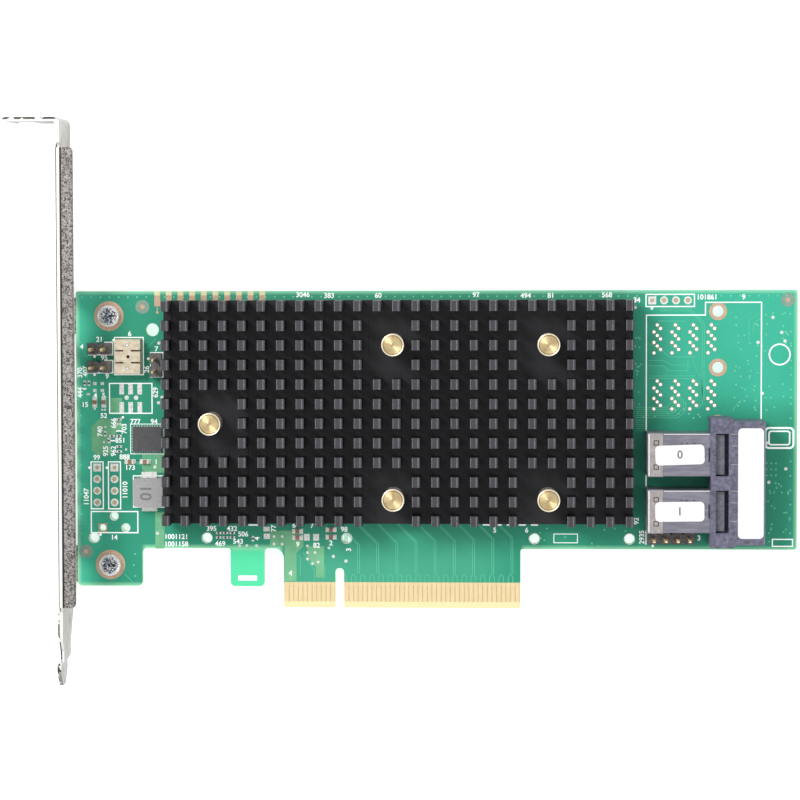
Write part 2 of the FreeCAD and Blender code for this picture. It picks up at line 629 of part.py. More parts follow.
def build_bracket_screws():
    """Pan-head screws with a cross recess, from the component side into the bracket's ears."""
    head, shank, crown = s.screw_head / 2, s.screw_shank / 2, s.head_height
    model = turned_body("screw_model", [
        (0, -s.screw_length), (shank, -s.screw_length), (shank, 0), (head, 0), (head, crown - s.head_dome),
        (head - s.head_dome * 2, crown), (0, crown)])
    recess = new_sketch(model, "XY_Plane", "recess_outline", crown)
    arm, side = s.recess_span / 2, s.recess_width / 2
    quarter = [(side, arm), (side, side), (arm, side)]
    draw_polygon(recess, quarter + [(x, -y) for x, y in quarter[::-1]] + [(-x, -y) for x, y in quarter]
                 + [(-x, y) for x, y in quarter[::-1]])
    pocket(model, recess, s.recess_depth, "recess")
    copies("bracket_screws", model, [(*place, board_top) for place in screw_places])


# --- heat sink -----------------------------------------------------------------------------------

def pocket_fields():
    """For each push pin, the block of fin columns and rows that is milled away round it, as a rectangle."""
    fields = []
    gap_x = fin_pitch - s.fin_thick
    gap_y = row_pitch - s.row_length
    for across, up in push_pin_places:
        column = int((across + s.sink_left - s.fin_thick / 2) / fin_pitch)
        row = round((up - s.sink_low - s.row_length / 2) / row_pitch) - 1
        left = -s.sink_left + fin_pitch * column - gap_x / 2
        right = left + fin_pitch * s.pocket_columns
        low = s.sink_low + row_pitch * row - gap_y / 2
        high = low + row_pitch * s.pocket_rows
        if row <= 0:
            low = s.sink_low - s.row_length
        fields.append((left, low, right, high))
    return fields


def build_heat_sink():
    """Extruded fins, sawn across into pins, with milled clearings for the push pins."""
    body = new_body("heat_sink")
    left, low = -s.sink_left, s.sink_low
    base = new_sketch(body, "XY_Plane", "sink_base_outline", sink_under)
    draw_rectangle(base, left, low, left + sink_length, low + s.sink_width)
    pad(body, base, s.sink_base, "sink_plate")

    fin = new_sketch(body, "XZ_Plane", "fin_section", -low)
    draw_rectangle(fin, left, sink_floor, left + s.fin_thick, fin_top)
    fin_pad = pad(body, fin, s.sink_width, "first_fin", reverse=True)
    repeat(body, fin_pad, "X_Axis", sink_length - s.fin_thick, s.fin_count, "fin_row")

    saw = new_sketch(body, "YZ_Plane", "saw_cuts_section", left)
    for cut in range(int(s.row_count) - 1):
        start = low + row_pitch * cut + s.row_length
        draw_rectangle(saw, start, sink_floor + s.stub_height, start + row_pitch - s.row_length,
                       fin_top + s.stub_height)
    pocket(body, saw, sink_length, "saw_cuts", reverse=True)

    clearings = new_sketch(body, "XY_Plane", "clearings_outline", fin_top + s.stub_height)
    for field in pocket_fields():
        draw_rectangle(clearings, *field)
    pocket(body, clearings, fin_top + s.stub_height - pocket_floor, "clearings")
    holes = new_sketch(body, "XY_Plane", "sink_holes_outline", sink_floor)
    for place in push_pin_places:
        draw_octagon(holes, place, s.pin_hole)
    pocket(body, holes, s.sink_base, "sink_holes")
    return keep(body)


def build_push_pins():
    """Turned brass pins with a split barb under the board, and the springs under their heads."""
    head, shank, barb = s.pin_head / 2, s.pin_shank / 2, s.barb_width / 2
    head_under = fin_top + s.pin_above_fins - s.pin_head_thick
    crown = head_under + s.pin_head_thick
    tip = barb - s.barb_taper
    catch = -s.barb_clear
    barb_end = catch - s.barb_length
    model = turned_body("push_pin_model", [
        (0, barb_end), (tip, barb_end), (barb, catch), (shank, catch), (shank, head_under),
        (head, head_under), (head, crown), (0, crown)])
    slot = new_sketch(model, "XZ_Plane", "barb_slot_outline", s.pin_head)
    half = s.barb_slot / 2
    draw_rectangle(slot, -half, barb_end - half, half, board_top)
    pocket(model, slot, s.pin_head * 2, "barb_slot_cut")
    copies("push_pins", model, [(*place, 0) for place in push_pin_places])

    spring = new_body("spring_model")
    ring = new_sketch(spring, "XY_Plane", "spring_section", pocket_floor)
    draw_octagon(ring, (0, 0), s.spring_outer)
    draw_octagon(ring, (0, 0), s.spring_outer - s.spring_wire * 2)
    pad(spring, ring, head_under - pocket_floor, "spring_tube")
    copies("push_pin_springs", spring, [(*place, 0) for place in push_pin_places])


# --- chips under the heat sink -------------------------------------------------------------------

def build_chips():
    half = s.chip_side / 2
    corner = (chip_middle[0] - half, chip_middle[1] - half, board_top)
    keep(block("chip_carrier", corner, (s.chip_side, s.chip_side, s.carrier_thick)))
    lid_side = s.chip_side - s.lid_margin * 2
    lid_corner = (corner[0] + s.lid_margin, corner[1] + s.lid_margin, board_top + s.carrier_thick)
    keep(block("chip_lid", lid_corner, (lid_side, lid_side, s.lid_thick)))
    pad_corner = (lid_corner[0], lid_corner[1], chip_top)
    keep(block("chip_thermal_pad", pad_corner, (lid_side, lid_side, s.pad_thick)))
    places = []
    for column in range(2):
        for side in (-1, 1):
            across = push_pin_places[0][0] + s.memory_from_pin + s.memory_pitch * column
            places.append((across - s.memory_width / 2, s.pin_middle + side * s.memory_offset
                           - s.memory_length / 2, board_top))
    sides = (s.memory_width, s.memory_length, s.memory_thick)
    group("memory_chips", [solid_box(place, sides) for place in places])
    strip_base = board_top + s.memory_thick
    strip = (s.memory_width, s.memory_length, sink_under - strip_base)
    group("memory_thermal_strips", [solid_box((x, y, strip_base), strip) for x, y, _ in places])


# --- double port ---------------------------------------------------------------------------------

def build_port_housing():
    """One moulding: a collar across both shields, and a nose with the mating cavities."""
    body = new_body("port_housing")
    low, high = s.port_low - s.collar_margin, port_high + s.collar_margin
    outline = new_sketch(body, "XY_Plane", "housing_outline", board_top)
    step = s.nose_step
    draw_polygon(outline, [(collar_start, low), (collar_end, low), (collar_end + step, low + step),
                           (nose_end, low + step), (nose_end, high - step), (collar_end + step, high - step),
                           (collar_end, high), (collar_start, high)])
    pad(body, outline, s.housing_height, "housing_block")
    chamfer(body, [(nose_end, housing_top)], 1, s.housing_corner, "nose_bevel")
    cavities = new_sketch(body, "YZ_Plane", "cavities_outline", nose_end)
    floor = board_top + s.cavity_floor
    for start in port_lows:
        draw_rectangle(cavities, start, floor, start + s.port_width, floor + s.cavity_height)
    pocket(body, cavities, s.nose_length + s.collar_length, "cavities")
    windows = new_sketch(body, "XY_Plane", "latch_windows_outline", housing_top)
    window_start = collar_start + s.latch_start
    window_end = window_start + s.latch_length
    for start in port_lows:
        draw_rectangle(windows, window_start, start, window_end, start + s.port_width)
    pocket(body, windows, housing_top - floor - s.cavity_height + s.groove_depth, "latch_windows")
    grooves = new_sketch(body, "XY_Plane", "grooves_outline", housing_top)
    groove = s.groove_width
    groove_end = nose_end - s.housing_corner - groove
    for start in port_lows:
        for up in (start + s.groove_inset, start + s.port_width - s.groove_inset - groove,
                   start + s.port_width - groove):
            draw_rectangle(grooves, window_end + groove, up, groove_end, up + groove)
    pocket(body, grooves, s.groove_depth, "grooves")
    return keep(body)


def build_board_locks():
    """Metal pegs under the housing, soldered in the board's plated holes."""
    model = new_body("board_lock_model")
    outline = new_sketch(model, "XY_Plane", "board_lock_outline", -s.peg_below)
    draw_octagon(outline, (0, 0), s.plated_hole - s.peg_clear)
    pad(model, outline, s.board_thick + s.peg_below, "board_lock_shank")
    copies("port_board_locks", model, [(*place, 0) for place in plated_places[:int(s.peg_count)]])


def build_port_shield(number, low):
    """A folded metal cover behind the housing, closed at the back and sides, with a doubled rear lip."""
    name = f"port_shield_{number}"
    body = new_body(name)
    high = low + s.port_width
    shell = new_sketch(body, "XY_Plane", f"{name}_outline", board_top)
    draw_rectangle(shell, shield_start, low, collar_start, high)
    pad(body, shell, s.shield_height, f"{name}_block")
    lip = new_sketch(body, "XY_Plane", f"{name}_lip_outline", board_top)
    rise = s.lip_rise
    draw_rectangle(lip, shield_start - rise, low - rise, shield_start + s.lip_length, high + rise)
    pad(body, lip, s.shield_height + rise, f"{name}_lip")
    chamfer(body, [(shield_start - rise, shield_top + rise)], 1, s.shield_thick, f"{name}_lip_bend")
    inside = new_sketch(body, "YZ_Plane", f"{name}_inside_outline", collar_start)
    wall = s.shield_thick
    draw_rectangle(inside, low + wall, board_top - wall, high - wall, shield_top - wall)
    pocket(body, inside, s.shield_length - wall, f"{name}_inside")
    stamps = new_sketch(body, "XY_Plane", f"{name}_stamps_outline", shield_top + rise)
    across = shield_start + s.stamp_inset
    for up in (low + s.stamp_inset * 2, high - s.stamp_inset * 2):
        draw_rectangle(stamps, across, up - s.stamp_side / 2, across + s.stamp_side, up + s.stamp_side / 2)
    pocket(body, stamps, s.stamp_depth, f"{name}_stamps")
    return keep(body)


def build_port_inside(number, low):
    """The moulded contact carrier in a shield, with two slots for the plug's blades, and its terminals."""
    body = new_body(f"contact_carrier_{number}")
    clear = s.carrier_clear
    left, right = shield_start + s.shield_thick + clear, collar_start - clear
    near, far = low + s.shield_thick + clear, low + s.port_width - s.shield_thick - clear
    floor = board_top + s.cavity_floor + clear
    tongue_top = floor + s.cavity_height - clear * 2
    roof = shield_top - s.shield_thick - clear
    side = new_sketch(body, "XZ_Plane", f"carrier_{number}_side_view", -near)
    front = right + s.carrier_front
    draw_polygon(side, [(left, board_top), (right, board_top), (right, floor), (front, floor),
                        (front, tongue_top), (right, tongue_top), (right, roof), (left, roof)])
    pad(body, side, far - near, f"carrier_{number}_block", reverse=True)
    slots = new_sketch(body, "YZ_Plane", f"carrier_{number}_slots_outline", front)
    middle = floor + s.cavity_height / 2
    half = s.slot_height / 2
    heights = [middle - s.slot_spacing / 2, middle + s.slot_spacing / 2]
    for up in heights:
        draw_rectangle(slots, near + s.slot_side, up - half, far - s.slot_side, up + half)
    pocket(body, slots, s.terminal_length, f"carrier_{number}_slots")
    keep(body)

    first = low + s.port_width / 2 - s.terminal_pitch * (s.terminal_count - 1) / 2
    terminals = []
    sides = (s.terminal_length - s.slot_side, s.terminal_width, s.terminal_thick)
    for up in heights:
        for i in range(int(s.terminal_count)):
            near_side = first + s.terminal_pitch * i - s.terminal_width / 2
            terminals.append(solid_box((front - s.terminal_length, near_side, up - half), sides))
    group(f"port_terminals_{number}", terminals)


# --- labels --------------------------------------------------------------------------------------

def build_label(name, middle, length, width, height, turn=0):
    """A sticker with rounded corners that lies on a face."""
    body = new_body(name)
    outline = new_sketch(body, "XY_Plane", f"{name}_outline")
    half_length, half_width = length / 2, width / 2
    draw_rectangle(outline, -half_length, -half_width, half_length, half_width)
    pad(body, outline, s.label_thick, f"{name}_sheet")
    corners = [(x * half_length, y * half_width) for x in (-1, 1) for y in (-1, 1)]
    fillet(body, corners, 2, s.label_corner, f"{name}_corners")
    body.Placement = Placement(Vector(*map(float, (*middle, height))), Rotation(Vector(0, 0, 1), turn))
    for prop, amount in zip(("x", "y", "z"), (*middle, height)):
        bind(body, f"Placement.Base.{prop}", amount)
    return keep(body)


def build_labels():
    shift = s.shield_length * 0.5
    for number, low in enumerate(port_lows, start=1):
        middle = (shield_start + shift + s.lip_rise, low + s.port_width / 2)
        build_label(f"shield_label_{number}", middle, s.label_length, s.label_width,
                    shield_top + s.lip_rise, turn=1.2 * (number - 1) + 0.6)
    middle = (nose_end - s.housing_corner - s.long_label_width / 2, (port_high + s.port_low) / 2)
    build_label("housing_label", middle, s.long_label_width, s.long_label_length, housing_top)


# --- headers and sockets -------------------------------------------------------------------------

def build_header(name, middle, count, along_y):
    """A square-post pin header: a base waisted between its posts, and the posts through the board."""
    body = new_body(f"{name}_base")
    half_width = s.header_width / 2
    first = -s.pin_pitch * count / 2
    near_side, far_side = [(first, -half_width)], [(first, half_width)]
    for i in range(1, int(count)):
        joint = first + s.pin_pitch * i
        for step, depth in ((-s.header_notch, 0), (0, s.header_notch), (s.header_notch, 0)):
            near_side.append((joint + step, depth - half_width))
            far_side.append((joint + step, half_width - depth))
    near_side.append((-first, -half_width))
    far_side.append((-first, half_width))
    outline = near_side + far_side[::-1]
    corners = [(up, across) for across, up in outline][::-1] if along_y else outline
    sketch = new_sketch(body, "XY_Plane", f"{name}_outline")
    draw_polygon(sketch, corners)
    pad(body, sketch, s.header_high, f"{name}_block")
    holes = new_sketch(body, "XY_Plane", f"{name}_holes_outline", s.header_high)
    side = s.post_side + s.post_clear
    for x, y in post_places((Size(0), Size(0)), count, along_y):
        draw_rectangle(holes, x - side / 2, y - side / 2, x + side / 2, y + side / 2)
    pocket(body, holes, s.header_high, f"{name}_holes")
    for prop, amount in zip(("x", "y", "z"), (*middle, board_top)):
        bind(body, f"Placement.Base.{prop}", amount)
    keep(body)

    post = s.post_side
    tall = s.post_below + s.board_thick + s.post_above
    group(f"{name}_posts", [solid_box((x - post / 2, y - post / 2, -s.post_below), (post, post, tall))
                            for x, y in post_places(middle, count, along_y)])


def build_socket():
    """A low two-pin power socket with split side walls."""
    body = new_body("power_socket")
    half_width, half_length = s.socket_width / 2, s.socket_length / 2
    x, y = socket_middle
    outline = new_sketch(body, "XY_Plane", "socket_outline", board_top)
    draw_rectangle(outline, x - half_width, y - half_length, x + half_width, y + half_length)
    pad(body, outline, s.socket_height, "socket_block")
    slots = new_sketch(body, "XY_Plane", "socket_slots_outline", board_top + s.socket_height)
    depth, half_slot = s.socket_slot_reach, s.socket_slot / 2
    for side in (-1, 1):
        up = y + side * s.socket_slot_gap / 2
        for left in (x - half_width - half_slot, x + half_width - depth):
            draw_rectangle(slots, left, up - half_slot, left + depth + half_slot, up + half_slot)
    draw_octagon(slots, (x + half_slot, y), s.socket_slot * 2)
    pocket(body, slots, s.socket_slot_deep, "socket_slots")
    holes = new_sketch(body, "XY_Plane", "socket_pin_holes_outline", board_top + s.socket_height)
    half = s.socket_pin_side / 2 + s.post_clear
    for across, up in socket_pin_places():
        draw_rectangle(holes, across - half, up - half, across + half, up + half)
    pocket(body, holes, s.socket_height, "socket_pin_holes")
    keep(body)
    pin = s.socket_pin_side
    tall = s.post_below + s.board_thick + s.socket_height
    group("power_socket_pins", [solid_box((across - pin / 2, up - pin / 2, -s.post_below), (pin, pin, tall))
                                for across, up in socket_pin_places()])


# --- surface-mounted pieces ----------------------------------------------------------------------

def build_inductor():
    """A pressed powder block with two flat straps that fold under it."""
    body = new_body("power_inductor")
    right = -s.sink_left - s.coil_gap
    left = right - s.coil_width
    low = s.sink_low + s.coil_rise
    high = low + s.coil_length
    foot = board_top + s.strap_thick
    outline = new_sketch(body, "XY_Plane", "inductor_outline", foot)
    draw_rectangle(outline, left, low, right, high)
    pad(body, outline, s.coil_height, "inductor_block")
    corners = [(x, y) for x in (left, right) for y in (low, high)]
    chamfer(body, corners, 2, s.coil_bevel, "inductor_corners")
    keep(body)
    middle = (left + right) / 2
    strap_left = middle - s.strap_width / 2
    straps = []
    for start, inner in ((low - s.strap_reach, low - s.strap_thick), (high, high)):
        foot = solid_box((strap_left, start, board_top), (s.strap_width, s.strap_reach, s.strap_thick))
        upright = solid_box((strap_left, inner, board_top), (s.strap_width, s.strap_thick, s.strap_rise))
        straps.append(foot.fuse(upright).removeSplitter())
    group("inductor_straps", straps)


def build_flat_chip():
    """A leadless logic chip beside the heat sink."""
    left = -s.sink_left - s.flat_chip_gap - s.flat_chip_length
    corner = (left, s.sink_low + s.flat_chip_rise, board_top)
    keep(block("logic_chip", corner, (s.flat_chip_length, s.flat_chip_width, s.flat_chip_thick)))


def turned_by(angle):
    return Rotation(Vector(0, 0, 1), angle)


def build_chip_group(name, places, length, width, height, end):
    """Small two-ended chips: the bodies in one node and their tinned ends in another."""
    middles, ends = [], []
    for across, up, turn in places:
        from_edge = up if up > 0 else float(s.board_height) + up
        spot = Placement(Vector(float(board_left) + across, from_edge, float(board_top)), turned_by(turn))
        bar = solid_box((-length / 2 + end, -width / 2, 0), (length - end * 2, width, height))
        middles.append(bar.transformed(spot.toMatrix()))
        for left in (-length / 2, length / 2 - end):
            cap = solid_box((left, -width / 2, 0), (end, width, height))
            ends.append(cap.transformed(spot.toMatrix()))
    group(f"{name}_bodies", middles)
    group(f"{name}_ends", ends)


# --- the card ------------------------------------------------------------------------------------

build_board()
build_contacts()
build_bracket()
build_bracket_screws()
build_heat_sink()
build_push_pins()
build_chips()
build_port_housing()
build_board_locks()
for port_number, port_start in enumerate(port_lows, start=1):
    build_port_shield(port_number, port_start)
    build_port_inside(port_number, port_start)
build_labels()
for header in HEADERS:
    build_header(*header)
build_socket()
build_inductor()
build_flat_chip()
build_chip_group("capacitor", CAPACITORS, s.cap_length, s.cap_width, s.cap_height, s.cap_end)
build_chip_group("resistor", RESISTORS, s.res_length, s.res_width, s.res_height, s.res_end)

doc.recompute()
for item in doc.Objects:
    if {"Invalid", "Error"} & set(item.State):
        raise RuntimeError(f"{item.Label} is {item.State}")
for item in parts:
    if item.Shape.isNull() or not item.Shape.isValid() or not item.Shape.Solids:
        raise RuntimeError(f"{item.Label} has no valid solid")
for item in parts:
    item.Shape.exportStep(f"parts/{item.Label}.step")
print(f"{len(parts)} sub-parts written")
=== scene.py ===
"""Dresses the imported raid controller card: materials, board detail, spring coils, light and camera.

Everything is in metres, in the frame of the CAD model. Lengths are written in millimetres and turned into
metres by mm(). Places follow from the CAD nodes and their separate solids, or are written in that frame.
"""

import math
import random

import bmesh
import bpy
from mathutils import Matrix, Vector


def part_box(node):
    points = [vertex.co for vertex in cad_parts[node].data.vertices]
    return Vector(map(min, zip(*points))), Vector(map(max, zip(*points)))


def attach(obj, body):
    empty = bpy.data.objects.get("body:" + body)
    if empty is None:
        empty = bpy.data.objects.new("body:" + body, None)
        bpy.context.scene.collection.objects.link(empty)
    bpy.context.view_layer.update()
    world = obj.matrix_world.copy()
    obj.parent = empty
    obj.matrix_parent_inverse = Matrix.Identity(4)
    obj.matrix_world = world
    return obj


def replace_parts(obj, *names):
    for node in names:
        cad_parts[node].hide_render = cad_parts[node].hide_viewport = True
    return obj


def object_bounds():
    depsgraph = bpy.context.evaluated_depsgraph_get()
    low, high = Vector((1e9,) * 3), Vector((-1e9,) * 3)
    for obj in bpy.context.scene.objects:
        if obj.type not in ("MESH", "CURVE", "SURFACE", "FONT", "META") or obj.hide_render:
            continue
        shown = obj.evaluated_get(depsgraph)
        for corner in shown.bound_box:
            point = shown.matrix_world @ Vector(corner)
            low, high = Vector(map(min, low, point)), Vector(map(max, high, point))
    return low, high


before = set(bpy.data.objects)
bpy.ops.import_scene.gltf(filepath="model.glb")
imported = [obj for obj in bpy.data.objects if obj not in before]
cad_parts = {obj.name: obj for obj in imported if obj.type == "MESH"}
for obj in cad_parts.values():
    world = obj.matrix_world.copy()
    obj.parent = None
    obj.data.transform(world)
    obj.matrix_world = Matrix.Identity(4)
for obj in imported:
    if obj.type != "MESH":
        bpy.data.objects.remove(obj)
CAD_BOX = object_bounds()

MM = 0.001


def mm(*lengths):
    """Millimetres to metres, as a Vector for three lengths."""
    return Vector(lengths) * MM if len(lengths) > 1 else lengths[0] * MM


def box_mm(node):
    """Lowest and highest corner of a CAD node, in millimetres."""
    low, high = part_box(node)
    return Vector(low) / MM, Vector(high) / MM


def islands(node):
    """Lowest and highest corners of a CAD node's separate solids, in millimetres, from left to right."""
    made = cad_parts[node]
    bm = bmesh.new()
    bm.from_mesh(made.data)
    bmesh.ops.remove_doubles(bm, verts=bm.verts, dist=mm(0.001))
    left_over = set(bm.verts)
    boxes = []
    while left_over:
        edge_of_search = [left_over.pop()]
        corners = []
        while edge_of_search:
            vert = edge_of_search.pop()
            corners.append(made.matrix_world @ vert.co / MM)
            linked = {edge.other_vert(vert) for edge in vert.link_edges} & left_over
            left_over -= linked
            edge_of_search.extend(linked)
        boxes.append((Vector(map(min, zip(*corners))), Vector(map(max, zip(*corners)))))
    bm.free()
    return sorted(boxes, key=lambda box: (round(box[0].x, 2), box[0].y))


def middles(node):
    """Places of a node's separate solids, seen from above."""
    return [((low.x + high.x) / 2, (low.y + high.y) / 2) for low, high in islands(node)]


# --- sizes read off the frame, in millimetres ---

board_low, board_high = box_mm("circuit_board")
LEFT, RIGHT, TOP, FACE = board_low.x, board_high.x, board_high.y, board_high.z
contacts_low, contacts_high = box_mm("edge_contacts_front")
_, sink_high = box_mm("heat_sink")
sink_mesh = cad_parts["heat_sink"]
sink_corners = [sink_mesh.matrix_world @ corner.co / MM for corner in sink_mesh.data.vertices]
FIN_EDGES = sorted({round(corner.x, 2) for corner in sink_corners if corner.z > sink_high.z - 0.01})
FIN_WIDTH, FIN_PITCH = FIN_EDGES[1] - FIN_EDGES[0], FIN_EDGES[2] - FIN_EDGES[0]
TAB_LEFT, TAB_RIGHT = contacts_low.x - 0.3, contacts_high.x + 0.3
CONTACT_TOP = contacts_high.y
EDGE_RISE, LEG_RISE = 12.95, 4.65
HOOK_LEFT, HOOK_RIGHT = -23.8, -16.35
BRACKET_TOP = box_mm("mounting_bracket")[1].z
SCREWS = middles("bracket_screws")
PINS = middles("push_pins")
BOARD_LOCKS = middles("port_board_locks")
HEADERS = ["jumper_header_a", "jumper_header_b", "jumper_header_c", "service_header"]
HEADER_BASES = " ".join(f"{header}_base" for header in HEADERS)
SHIELDS = ["port_shield_1", "port_shield_2"]

# Heights of the board's thin layers, each just clear of the one under it
FILL_TOP, TRACE_TOP, VIA_TOP, PAD_TOP, INK_TOP = (FACE + rise for rise in (0.008, 0.02, 0.03, 0.04, 0.05))
SUNK = FACE - 0.02

# The same on the back, whose bare face is at height 0
BACK_TRACE, BACK_VIA, BACK_PAD, BACK_SUNK = -0.02, -0.03, -0.04, 0.02


# --- colour and material helpers ---

WHITE = (1.0, 1.0, 1.0, 1.0)


def colour(code):
    """A screen colour code such as 2FA584 as linear red, green, blue and alpha."""
    parts = [int(code[i:i + 2], 16) / 255 for i in (0, 2, 4)]
    return tuple(p / 12.92 if p < 0.04045 else ((p + 0.055) / 1.055) ** 2.4 for p in parts) + (1.0,)


class Paint:
    """A node material built up step by step; lengths inside it are millimetres in the frame."""

    def __init__(self, name, **sockets):
        self.material = bpy.data.materials.new(name)
        self.material.use_nodes = True
        self.tree = self.material.node_tree
        self.shader = self.tree.nodes["Principled BSDF"]
        for socket, value in sockets.items():
            self.shader.inputs[socket.replace("_", " ")].default_value = value
        place = self.tree.nodes.new("ShaderNodeTexCoord")
        scale = self.tree.nodes.new("ShaderNodeVectorMath")
        scale.operation = "SCALE"
        scale.inputs["Scale"].default_value = 1 / MM
        self.tree.links.new(place.outputs["Object"], scale.inputs[0])
        self.place = scale.outputs[0]
        self.normal = place.outputs["Normal"]

    def put(self, target, value):
        if hasattr(value, "is_output"):
            self.tree.links.new(value, target)
        else:
            target.default_value = value

    def math(self, operation, first, second=0.0, third=0.0):
        step = self.tree.nodes.new("ShaderNodeMath")
        step.operation = operation
        for target, value in zip(step.inputs, (first, second, third)):
            self.put(target, value)
        return step.outputs[0]

    def axes(self, vector=None):
        parts = self.tree.nodes.new("ShaderNodeSeparateXYZ")
        self.put(parts.inputs[0], vector or self.place)
        return parts.outputs

    def stretched(self, x, y, z):
        step = self.tree.nodes.new("ShaderNodeVectorMath")
        step.operation = "MULTIPLY"
        self.put(step.inputs[0], self.place)
        step.inputs[1].default_value = (x, y, z)
        return step.outputs[0]

    def noise(self, per_mm, detail=3.0, roughness=0.55, vector=None):
        step = self.tree.nodes.new("ShaderNodeTexNoise")
        self.put(step.inputs["Vector"], vector or self.place)
        step.inputs["Scale"].default_value = per_mm
        step.inputs["Detail"].default_value = detail
        step.inputs["Roughness"].default_value = roughness
        return step.outputs["Fac"]

    def between(self, value, low, high, to_low=0.0, to_high=1.0):
        step = self.tree.nodes.new("ShaderNodeMapRange")
        for name, amount in (("Value", value), ("From Min", low), ("From Max", high), ("To Min", to_low),
                             ("To Max", to_high)):
            self.put(step.inputs[name], amount)
        return step.outputs[0]

    def mix(self, share, first, second):
        step = self.tree.nodes.new("ShaderNodeMix")
        step.data_type = "RGBA"
        self.put(step.inputs["Factor"], share)
        self.put(step.inputs["A"], colour(first) if isinstance(first, str) else first)
        self.put(step.inputs["B"], colour(second) if isinstance(second, str) else second)
        return step.outputs["Result"]

    def tones(self, value, first, second, low=0.3, high=0.7):
        """The first colour where a value is low, the second where it is high."""
        return self.mix(self.between(value, low, high), first, second)

    def inside(self, value, low, high, soft):
        """1 between two limits of a coordinate, falling to 0 over a soft distance outside them."""
        rise = self.between(value, low - soft, low)
        fall = self.between(value, high, high + soft, 1.0, 0.0)
        return self.math("MINIMUM", rise, fall)

    def both(self, share, *others):
        """The product of two or more shares."""
        for other in others:
            share = self.math("MULTIPLY", share, other)
        return share

    def most(self, share, *others):
        """The largest of two or more shares."""
        for other in others:
            share = self.math("MAXIMUM", share, other)
        return share

    def facing_up(self):
        """1 on faces that look along Z, either way, and 0 on upright ones."""
        _, _, up = self.axes(self.normal)
        return self.between(self.math("ABSOLUTE", up), 0.4, 0.8)

    def bump(self, height, depth_mm):
        step = self.tree.nodes.new("ShaderNodeBump")
        step.inputs["Strength"].default_value = 1.0
        step.inputs["Distance"].default_value = depth_mm * MM
        self.put(step.inputs["Height"], height)
        self.put(self.shader.inputs["Normal"], step.outputs[0])

    def base(self, value):
        self.put(self.shader.inputs["Base Color"], value)

    def rough(self, value, smooth, matt, low=0.3, high=0.7):
        """Roughness from one figure to another as a value rises."""
        self.put(self.shader.inputs["Roughness"], self.between(value, low, high, smooth, matt))


# --- materials ---

def rims(paint, x, y):
    """Colours of the board's rims, where light passes through bare laminate, each with its share."""
    reach = 0.95
    low = paint.both(paint.between(y, EDGE_RISE + reach, EDGE_RISE),
                     paint.between(x, LEFT + 14.0, LEFT + 15.0),
                     paint.most(paint.between(x, TAB_LEFT, TAB_LEFT - reach),
                                paint.between(x, TAB_RIGHT, TAB_RIGHT + reach)))
    leg = paint.both(paint.between(y, LEG_RISE + reach, LEG_RISE), paint.between(x, LEFT + 15, LEFT + 14))
    return (("A4E6BE", paint.between(x, LEFT + reach, LEFT)),
            ("96E6B2", paint.between(x, RIGHT - reach, RIGHT)),
            ("9CEBC0", paint.between(y, TOP - reach, TOP)), ("A0EFBE", low), ("A0EFBE", leg))


def solder_mask():
    """Green lacquer, paler at the rims and the hook, with bare laminate between the contacts; painted light
    at the left.
    """
    paint = Paint("solder_mask", Specular_IOR_Level=0.22, Coat_Weight=0.05, Coat_Roughness=0.3)
    x, y, _ = paint.axes()
    tint = paint.tones(y, "35A383", "3AA788", 30.0, TOP)
    beside_sink = paint.both(paint.between(x, sink_high.x, sink_high.x + 12), paint.between(y, 40, 46))
    above_sink = paint.both(paint.between(y, TOP - 5, TOP - 2), paint.inside(x, -36, sink_high.x, 4))
    above_tab = paint.both(paint.inside(x, TAB_LEFT, 28, 10), paint.between(y, 19, 10))
    # 4FD0AC along the left side is painted light that lifts the bracket's shadow off the board.
    for code, share in (("43C3A3", beside_sink), ("49A585", above_sink),
                        ("4FD0AC", paint.between(x, LEFT + 9, LEFT)), ("4FB795", above_tab)):
        tint = paint.mix(share, tint, code)
    tint = paint.mix(paint.between(paint.noise(0.06, 3.0), 0.4, 0.75, 0.0, 0.35), tint, "2B9272")
    weave = paint.noise(3.0, 2.0, vector=paint.stretched(1.0, 1.0, 0.2))
    tint = paint.mix(paint.between(weave, 0.3, 0.8, 0.0, 0.16), tint, "1F7F62")
    for code, share in rims(paint, x, y):
        tint = paint.mix(share, tint, code)
    hook = paint.both(paint.inside(x, HOOK_LEFT + 0.3, HOOK_RIGHT - 0.3, 0.7),
                      paint.between(y, EDGE_RISE + 0.4, EDGE_RISE - 0.8))
    tint = paint.mix(hook, tint, "5EEEB2")
    bare = paint.both(paint.inside(x, TAB_LEFT - 1.0, TAB_RIGHT + 1.0, 0.05),
                      paint.between(y, CONTACT_TOP + 0.05, CONTACT_TOP))
    laminate = paint.tones(paint.noise(0.9, 3.0), "E6CF98", "F3DDAA")
    tint = paint.mix(bare, tint, laminate)
    slope = paint.both(paint.between(y, 1.45, 1.35), paint.between(x, TAB_LEFT - 1, TAB_LEFT))
    tint = paint.mix(slope, tint, "FEF6BF")
    edge = paint.mix(paint.noise(2.0), "B4DDA8", "D8F0BE")
    paint.base(paint.mix(paint.facing_up(), edge, tint))
    paint.rough(paint.noise(1.2), 0.36, 0.5)
    paint.bump(paint.noise(1.6, 3.0), 0.012)
    return paint.material


def lacquered_copper(name, first, second):
    """Lacquer over copper: a paler, yellower green than the bare laminate under it."""
    paint = Paint(name, Specular_IOR_Level=0.3, Coat_Weight=0.05, Coat_Roughness=0.2)
    paint.base(paint.tones(paint.noise(0.25, 3.0), first, second))
    paint.rough(paint.noise(2.0), 0.32, 0.46)
    paint.bump(paint.noise(2.4, 2.0), 0.008)
    return paint.material


def metal(name, first, second, rough, per_mm=2.0, stretch=(1.0, 1.0, 1.0), depth=0.01, metallic=0.55):
    """Plated or machined metal: two tones and a roughness that follow a grain."""
    paint = Paint(name, Metallic=metallic)
    grain = paint.noise(per_mm, 4.0, vector=paint.stretched(*stretch))
    paint.base(paint.tones(grain, first, second, 0.35, 0.65))
    paint.rough(grain, *rough)
    paint.bump(grain, depth)
    return paint.material


